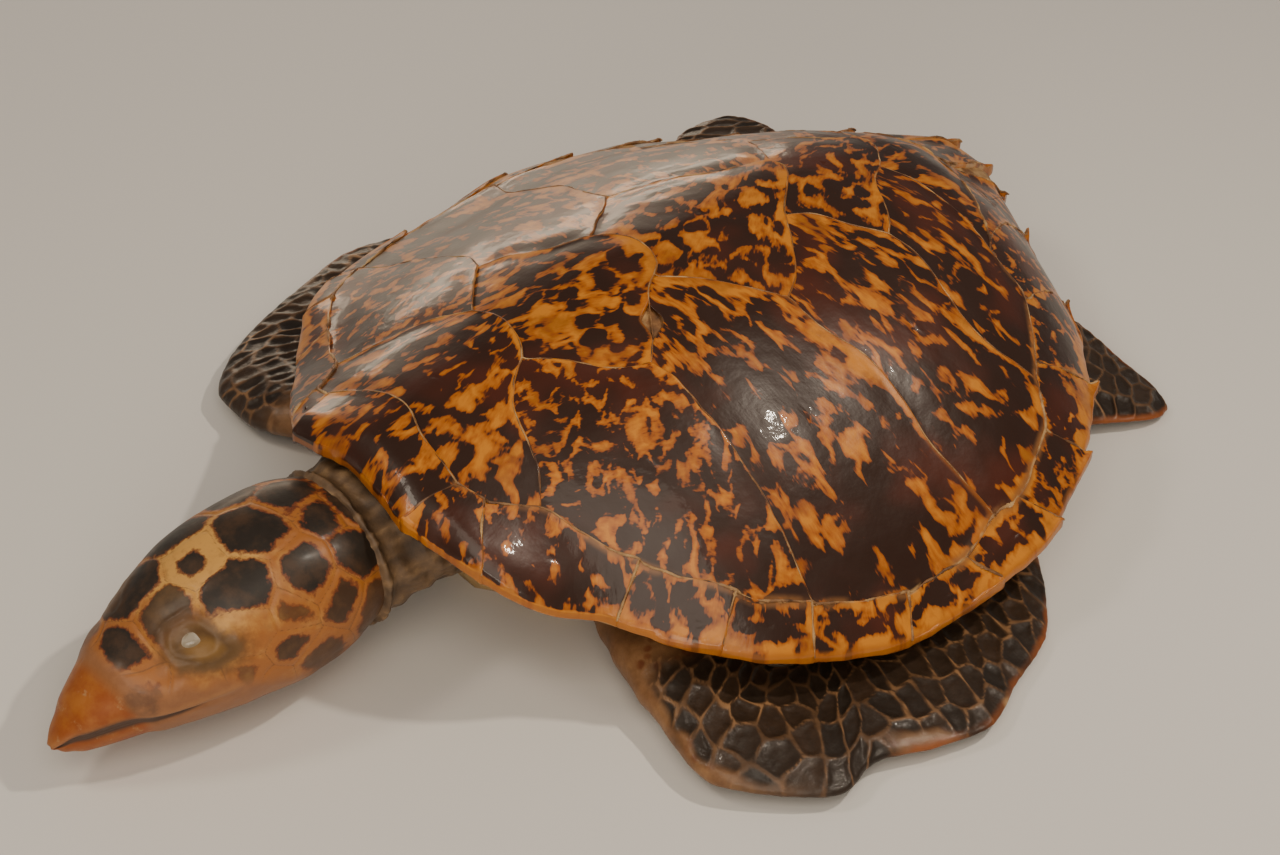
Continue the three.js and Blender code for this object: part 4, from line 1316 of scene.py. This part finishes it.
body = {
    "shoulderWidth": [(-186, 38), (-162, 42), (-92, 96)],
    "shoulderFloor": [(-186, 36), (-165, 34), (-142, 16), (-92, 13)], "shoulderY": (-186, -92.8),
    "hipWidth": [(78, 104), (130, 84), (176, 40)],
    "hipFloor": [(78, 13), (176, 13)], "hipY": (78.8, 176),
    "outline": [(-0.86, 0), (0.86, 0), (1, 0.4), (0.94, 1), (-0.94, 1), (-1, 0.4)],  # of width and height
    "folds": 0.8, "rows": 90, "flatColumns": 40, "sideColumns": 14, "topGap": 0.5,
}


def skinRings(place):
    y = np.linspace(*body[place + "Y"], body["rows"])
    low = smoothCurve(body[place + "Floor"])(y)
    high = marginHeight(y) + neckArch(y) - body["topGap"]
    width = smoothCurve(body[place + "Width"])(y)
    outline = body["outline"]
    fine = []
    for i, (sx, sz) in enumerate(outline):
        nx, nz = outline[(i + 1) % len(outline)]
        count = body["flatColumns"] if abs(nx - sx) > 1 else body["sideColumns"]
        fine += [(lerp(sx, nx, k / count), lerp(sz, nz, k / count)) for k in range(count)]
    sx, sz = np.array(fine).T
    x = sx[None] * width[:, None]
    z = lerp(low[:, None], high[:, None], sz[None])
    return np.stack([x, y[:, None] + 0 * x, z], axis=-1)


# lower shell

plastron = {
    "foot": [(-150, 16), (-126, 50), (-80, 86), (60, 86), (120, 60), (172, 20)],
    "top": [(-150, 26), (-126, 62), (-92, 104), (-30, 152), (50, 150), (120, 78), (172, 32)],
    "thickness": 12, "bendHeight": 4, "bendShare": 0.65, "bridgeFrontY": -92, "bridgeRearY": 78,
    "bridgeEnd": (8, 12),  # how far the bridge's rounded ends reach inwards and outwards
    "crossSeams": [-118, -66, -8, 52, 112], "crossSlant": 0.05,
    "sideSeam": [(-92, 78), (-30, 84), (52, 82), (78, 74)],
    "seamWave": (1.5, 18), "grooveDepth": 0.6, "grooveWidth": 1.2,
    "rows": 190, "columns": [90, 8, 24, 40, 24, 8],  # columns: under, bend, side, inside, side, bend
}


def plastronPart():
    y = np.linspace(plastron["foot"][0][0], plastron["foot"][-1][0], plastron["rows"])
    inwards, outwards = plastron["bridgeEnd"]
    frontY, rearY = plastron["bridgeFrontY"], plastron["bridgeRearY"]
    onBridge = smoothStep(y, frontY - outwards, frontY + inwards)
    onBridge *= 1 - smoothStep(y, rearY - inwards, rearY + outwards)
    top = lerp(plastron["thickness"], marginHeight(y), onBridge)
    foot, rim = smoothCurve(plastron["foot"])(y), smoothCurve(plastron["top"])(y)
    flatZ, bendZ = 0 * y, plastron["bendHeight"] + 0 * y
    bend = lerp(foot, rim, plastron["bendShare"])
    edge = lerp(bend, rim, (top - bendZ) / (marginHeight(y) - bendZ))
    corners = [(-foot, flatZ), (foot, flatZ), (bend, bendZ), (edge, top), (-edge, top), (-bend, bendZ)]
    columns = []
    for i, count in enumerate(plastron["columns"]):
        here, following = np.array(corners[i]), np.array(corners[(i + 1) % len(corners)])
        columns += [lerp(here, following, k / count) for k in range(count)]
    x, z = np.stack(columns, axis=-1)
    yy = y[:, None] + 0 * x
    wave = noiseOf(np.stack([x, yy], axis=-1).reshape(-1, 2), plastron["seamWave"], 31).reshape(x.shape)
    seam = np.abs(x + wave)
    for place in plastron["crossSeams"]:
        seam = np.minimum(seam, np.abs(yy + wave + plastron["crossSlant"] * np.abs(x) - place))
    seam = np.minimum(seam, np.abs(np.abs(x) - smoothCurve(plastron["sideSeam"])(yy) + wave))
    groove = plastron["grooveDepth"] * bell(seam, plastron["grooveWidth"])
    z = z + np.where(z < top[:, None] - 1, groove, 0)
    return closedTube(np.stack([x, yy, z], axis=-1), {"seam": seam})


# flippers

flipperProfile = [  # share from the leading to the trailing edge, height as a share of the thickness
    (0, 0), (0.08, 0.32), (0.3, 0.5), (0.62, 0.4), (0.9, 0.2), (1, 0), (0.9, -0.2), (0.62, -0.38),
    (0.3, -0.46), (0.08, -0.3),
]
flippers = {  # (leading x, y), (trailing x, y), thickness, height of the middle, from root to tip
    "front_flipper_left": [
        ((62, -128), (84, -66), 30, 18), ((107, -145), (112, -80), 28, 16),
        ((143, -154), (134, -90), 24, 14), ((176, -160), (146, -92), 20, 12),
        ((204, -142), (152, -84), 17, 10), ((221, -117), (155, -72), 15, 9),
        ((217, -97), (156, -60), 14, 9), ((228, -67), (157, -42), 12, 8), ((234, -42), (158, -18), 11, 8),
        ((223, -11), (159, 6), 9, 7), ((212, 21), (160, 28), 8, 6), ((191, 46), (163, 46), 6, 5),
        ((172, 63), (169, 60), 3, 4),
    ],
    "front_flipper_right": [
        ((-62, -128), (-84, -66), 30, 18), ((-103, -152), (-112, -80), 28, 16),
        ((-138, -169), (-132, -90), 24, 14), ((-162, -167), (-146, -92), 20, 12),
        ((-184, -149), (-152, -84), 17, 10), ((-199, -126), (-155, -72), 15, 9),
        ((-210, -100), (-156, -58), 14, 9), ((-220, -72), (-157, -42), 12, 8),
        ((-229, -40), (-158, -18), 11, 8), ((-226, -8), (-159, 6), 9, 7), ((-214, 21), (-160, 28), 8, 6),
        ((-193, 46), (-163, 46), 6, 5), ((-174, 63), (-170, 60), 3, 4),
    ],
    "rear_flipper_left": [
        ((100, 92), (48, 132), 28, 17), ((112, 122), (46, 172), 22, 13), ((122, 146), (52, 206), 16, 10),
        ((130, 164), (66, 219), 12, 8), ((138, 178), (98, 213), 9, 7), ((142, 192), (120, 211), 6, 5),
        ((140, 201), (134, 206), 3, 4),
    ],
    "rear_flipper_right": [
        ((-104, 88), (-58, 128), 28, 17), ((-128, 112), (-74, 156), 22, 13),
        ((-150, 130), (-96, 186), 17, 10), ((-172, 150), (-126, 208), 14, 9),
        ((-194, 167), (-156, 220), 12, 9), ((-205, 185), (-176, 230), 9, 8),
        ((-208, 206), (-190, 231), 6, 6), ((-206, 219), (-200, 227), 3, 5),
    ],
}
scaleLook = {
    "length": 11,  # mm along the flipper
    "width": 21, "outerWidth": 0.6, "outerFrom": 60,  # mm across, and its share further from the leading edge
    "stretch": 1.45,  # plates are longer across the blade
    "small": 0.45,  # size of the scales next to the bare skin
    "jitter": 0.4, "wave": (1.6, 9),
    "dish": 0.9, "dishReach": 2.4,  # how deep a plate lies inside its border
    "border": 0.5, "borderHeight": 0.4,  # half the width of a border
    "grain": (0.25, 3), "bareFolds": (0.6, 8), "unevenness": (0.3, 18),
    "claw": (231, -24), "clawReach": (2, 5),
    "notch": (224, -73), "notchReach": (19, 8),  # bare skin behind the first claw of a front flipper
    "notchTurn": np.array([[0.5, -0.87], [0.87, 0.5]]),  # to along the edge and in from it
    "notchFray": (0.3, 7), "notchEdge": (0.5, 1.2),
    "rootFray": (9, 14), "rootEdge": (-12, 8), "grownEdge": (-20, 30),  # mm from the end of the bare skin
    "edgeFade": 4,
    "trimShares": (0.35, 0.6), "trimFade": 20,  # where the orange trim of the outer half starts
    "bareStrip": (2, 6), "bareStripEnd": (0.3, 0.45), "stripFray": (2, 9),
}
flipperRule = {  # mm of bare skin at the root, size of the scales
    "front_flipper_left": (62, 1), "front_flipper_right": (62, 0.75),
    "rear_flipper_left": (40, 1), "rear_flipper_right": (40, 1),
}


def closedProfile(count):
    loop = np.array(flipperProfile + flipperProfile[:1], float)
    way = np.roll(loop[:-1], -1, axis=0) - np.roll(loop[:-1], 1, axis=0)
    way = np.vstack([way, way[:1]]) / 2
    t = np.arange(count) / count * len(flipperProfile)
    i = t.astype(int)
    u = (t - i)[:, None]
    a, b = loop[i], loop[i + 1]
    bend = (u ** 3 - 2 * u * u + u) * way[i] + (u ** 3 - u * u) * way[i + 1]
    return a + (b - a) * (3 * u * u - 2 * u ** 3) + bend


def bladeRings(sections, rows, cols):
    at = np.arange(len(sections))
    table = np.array([(*lead, *trail, thick, height) for lead, trail, thick, height in sections], float)
    t = np.linspace(0, at[-1], rows)
    lx, ly, tx, ty, thick, height = (smoothCurve(list(zip(at, column)))(t)[:, None] for column in table.T)
    share, lift = closedProfile(cols).T
    share = np.clip(share, 0, 1)[None]
    rings = np.stack([lerp(lx, tx, share), lerp(ly, ty, share), height + thick * lift[None]], axis=-1)
    middle = np.stack([(lx + tx)[:, 0] / 2, (ly + ty)[:, 0] / 2], axis=1)
    along = np.concatenate([[0], np.cumsum(np.linalg.norm(np.diff(middle, axis=0), axis=1))])
    return rings, share, along, np.hypot(lx - tx, ly - ty)


def clawAndNotch(flat, seed):  # the claw, and the pale bare skin behind it
    look = scaleLook
    mirrored = np.stack([np.abs(flat[:, 0]), flat[:, 1]], axis=1)
    claw = 1 - smoothStep(np.linalg.norm(mirrored - look["claw"], axis=1), *look["clawReach"])
    toNotch = (mirrored - look["notch"]) @ look["notchTurn"]
    toNotch = np.linalg.norm(toNotch / look["notchReach"], axis=1)
    return claw, 1 - smoothStep(toNotch + noiseOf(flat, look["notchFray"], seed + 6), *look["notchEdge"])


def flipperPart(sections, seed, bareEnd, size, rows=210, cols=130):
    look = scaleLook
    rings, share, along, width = bladeRings(sections, rows, cols)
    rng = np.random.default_rng(seed)
    seeds = scaleSeeds(rng, along, width[:, 0], bareEnd, size)
    tones = rng.uniform(0, 1, len(seeds))
    flat = rings.reshape(-1, 3)
    fromLead = share * width
    local = np.stack([(along[:, None] + 0 * share).ravel(), fromLead.ravel() / look["stretch"]], axis=1)
    local = local + np.stack([noiseOf(flat[:, :2], look["wave"], seed + k) for k in (1, 2)], axis=1)
    border, plate = nearestPlates(local, seeds, np.zeros(len(seeds)))
    claw, pale = clawAndNotch(flat, seed)
    fade = [bareEnd + part for part in look["rootEdge"]]
    root = 1 - smoothStep(local[:, 0] + noiseOf(flat, look["rootFray"], seed + 3), *fade)
    front = fromLead.ravel() + noiseOf(flat, look["stripFray"], seed + 8)
    fade = [part * along[-1] for part in look["bareStripEnd"]]
    strip = (1 - smoothStep(front, *look["bareStrip"])) * (1 - smoothStep(local[:, 0], *fade))
    strip *= flat[:, 0] > 0  # on the left side alone
    bare = np.maximum(np.maximum(root, pale), strip)
    fromEdge = np.minimum(fromLead, (1 - share) * width)
    edgeFade = smoothStep(fromEdge, 0, look["edgeFade"]).ravel()
    raised = look["borderHeight"] * bell(border, look["border"])
    raised -= look["dish"] * smoothStep(border, look["border"], look["dishReach"])
    shift = (raised * edgeFade + noiseOf(flat, look["grain"], seed + 7)) * (1 - bare)
    shift += bare * noiseOf(flat, look["bareFolds"], seed + 4)
    shift += noiseOf(flat, look["unevenness"], seed + 5) - look["unevenness"][0]
    rings = rings + surfaceNormals(rings) * shift.reshape(rings.shape[:2] + (1,))
    rings[..., 2] = np.maximum(rings[..., 2], 0.0)
    plates = np.stack([border, tones[plate], bare], axis=1).reshape(rings.shape)
    fade = [part * along[-1] for part in look["trimShares"]]
    trim = fromEdge + look["trimFade"] * (1 - smoothStep(along[:, None], *fade))
    edge = np.stack([trim, pale.reshape(trim.shape), claw.reshape(trim.shape)], axis=-1)
    return closedTube(rings, {"plates": plates, "edge": edge})


def scaleSeeds(rng, along, width, bareEnd, size):  # middles of the plates, in rows across the flipper
    look = scaleLook
    seeds = []
    row = 0.0
    while row < along[-1] + look["length"]:
        fade = [bareEnd + part for part in look["grownEdge"]]
        grown = size * lerp(look["small"], 1.0, float(smoothStep(row, *fade)))
        wide = float(np.interp(row, along, width))
        place = rng.uniform(-0.5, 0) * look["width"]
        while place < wide + 6:
            narrow = lerp(1.0, look["outerWidth"], min(max(place, 0) / look["outerFrom"], 1))
            step = look["width"] * grown * narrow * rng.uniform(0.75, 1.2)
            shift = rng.uniform(-1, 1) * look["jitter"] * look["length"] * grown
            seeds.append((row + shift, (place + step / 2) / look["stretch"]))
            place += step
        row += look["length"] * grown * rng.uniform(0.8, 1.15)
    return np.array(seeds)


tail = {
    "sections": [
        (0, 176.3, 24, 15, 11, 11), (0, 190, 20, 11, 9, 9), (0, 204, 16, 7, 6, 6), (0, 214, 13, 2, 2, 2),
    ],
    "folds": 0.4,
}


# everything together

horn, bone = hornFinish(), boneFinish()
scales, dried = flipperFinish(), bareSkinFinish()
large = makePiece("shell_scutes", largeScuteParts(), horn, "carapace")
rims = makePiece("rim_scutes", rimScuteParts(), horn, "carapace")
seamBeads(bone, (large, rims))
makePiece("shell_bone", [bonePart()], bone, "carapace")
makePiece("plates_of_lower_shell", [plastronPart()], plastronFinish(), "plastron")
makePiece("head_with_beak", [headPart()], headFinish(), "head")
makePiece("eyes", [eyePart(1), eyePart(-1)], eyeFinish(), "head")
makePiece("neck_skin", [foldedSkin(neckRings(), neck["folds"], "ringWise", 41)], dried, "neck")
for place, seed in (("shoulder", 43), ("hip", 45)):
    skin = foldedSkin(skinRings(place), body["folds"], "upright", seed)
    makePiece(place + "_folds", [skin], dried, place + "_skin")
for i, (name, sections) in enumerate(flippers.items()):
    blade = flipperPart(sections, 60 + 10 * i, *flipperRule[name])
    makePiece(name + "_scales", [blade], scales, name)
tailRings = sectionSurface(tail["sections"], 60, 64)
makePiece("tail_skin", [foldedSkin(tailRings, tail["folds"], "ringWise", 47)], dried, "tail")
print("pieces made")


# floor, camera and light

stage = {
    "floor": (0.74, 0.72, 0.69), "floorHalf": 4.0,
    "cameraPlace": (0.6675, -0.6742, 0.7575), "cameraLooksAt": (0.0198, -0.0567, 0.050), "cameraRoll": 2.54,
    "lens": 68.83, "sensor": 36, "shift": (0.0038, -0.0013),
    "air": (1.0, 0.94, 0.86), "airStrength": 0.2,
}
warm = (1, 0.87, 0.71)
shellMiddle = (0, 0, 0.06)
panels = {  # place, what it faces, size, watts, colour
    "ceilingLamp": ((0.51, 0.40, 1.14), shellMiddle, (0.07, 0.04), 6, warm),
    "wideCeiling": ((0.9, -0.9, 1.5), shellMiddle, (1.3, 1.3), 16, warm),
    "leftLamp": ((-0.5, -0.9, 1.4), shellMiddle, (0.3, 0.3), 4, warm),
    "nearFill": ((1.4, -1.3, 0.7), shellMiddle, (0.6, 0.4), 7, warm),
    "farWindow": ((-1.7, 0.85, 0.16), (-0.1, 0, 0.1), (1.1, 0.22), 5.5, (1, 0.8, 0.58)),
}


def facing(start, target):
    return (Vector(target) - Vector(start)).to_track_quat("-Z", "Y")


def makeFloor():
    half = stage["floorHalf"]
    mesh = bpy.data.meshes.new("floor")
    corners = [(-half, -half, 0), (half, -half, 0), (half, half, 0), (-half, half, 0)]
    mesh.from_pydata(corners, [], [(0, 1, 2, 3)])
    finish, _, shader = newFinish("paleFloor", Roughness=0.6)
    shader.inputs["Base Color"].default_value = (*stage["floor"], 1)
    mesh.materials.append(finish)
    floor = putInScene("floor", mesh)


def makeCamera():
    data = bpy.data.cameras.new("view")
    data.lens = stage["lens"]
    data.sensor_width = stage["sensor"]
    data.shift_x, data.shift_y = stage["shift"]
    camera = putInScene("view", data)
    turn = facing(stage["cameraPlace"], stage["cameraLooksAt"]).to_matrix().to_4x4()
    roll = Matrix.Rotation(np.radians(stage["cameraRoll"]), 4, "Z")
    camera.matrix_world = Matrix.Translation(stage["cameraPlace"]) @ turn @ roll
    bpy.context.scene.camera = camera


def makeLights():
    for name, (start, target, size, watts, colour) in panels.items():
        data = bpy.data.lights.new(name, "AREA")
        data.shape = "RECTANGLE"
        data.size, data.size_y = size
        data.energy = watts
        data.color = colour
        lamp = putInScene(name, data)
        lamp.location = start
        lamp.rotation_euler = facing(start, target).to_euler()
    world = bpy.data.worlds.new("softRoom")
    world.use_nodes = True
    background = world.node_tree.nodes["Background"]
    background.inputs["Color"].default_value = (*stage["air"], 1)
    background.inputs["Strength"].default_value = stage["airStrength"]
    bpy.context.scene.world = world


makeFloor()
makeCamera()
makeLights()
print("stage set")
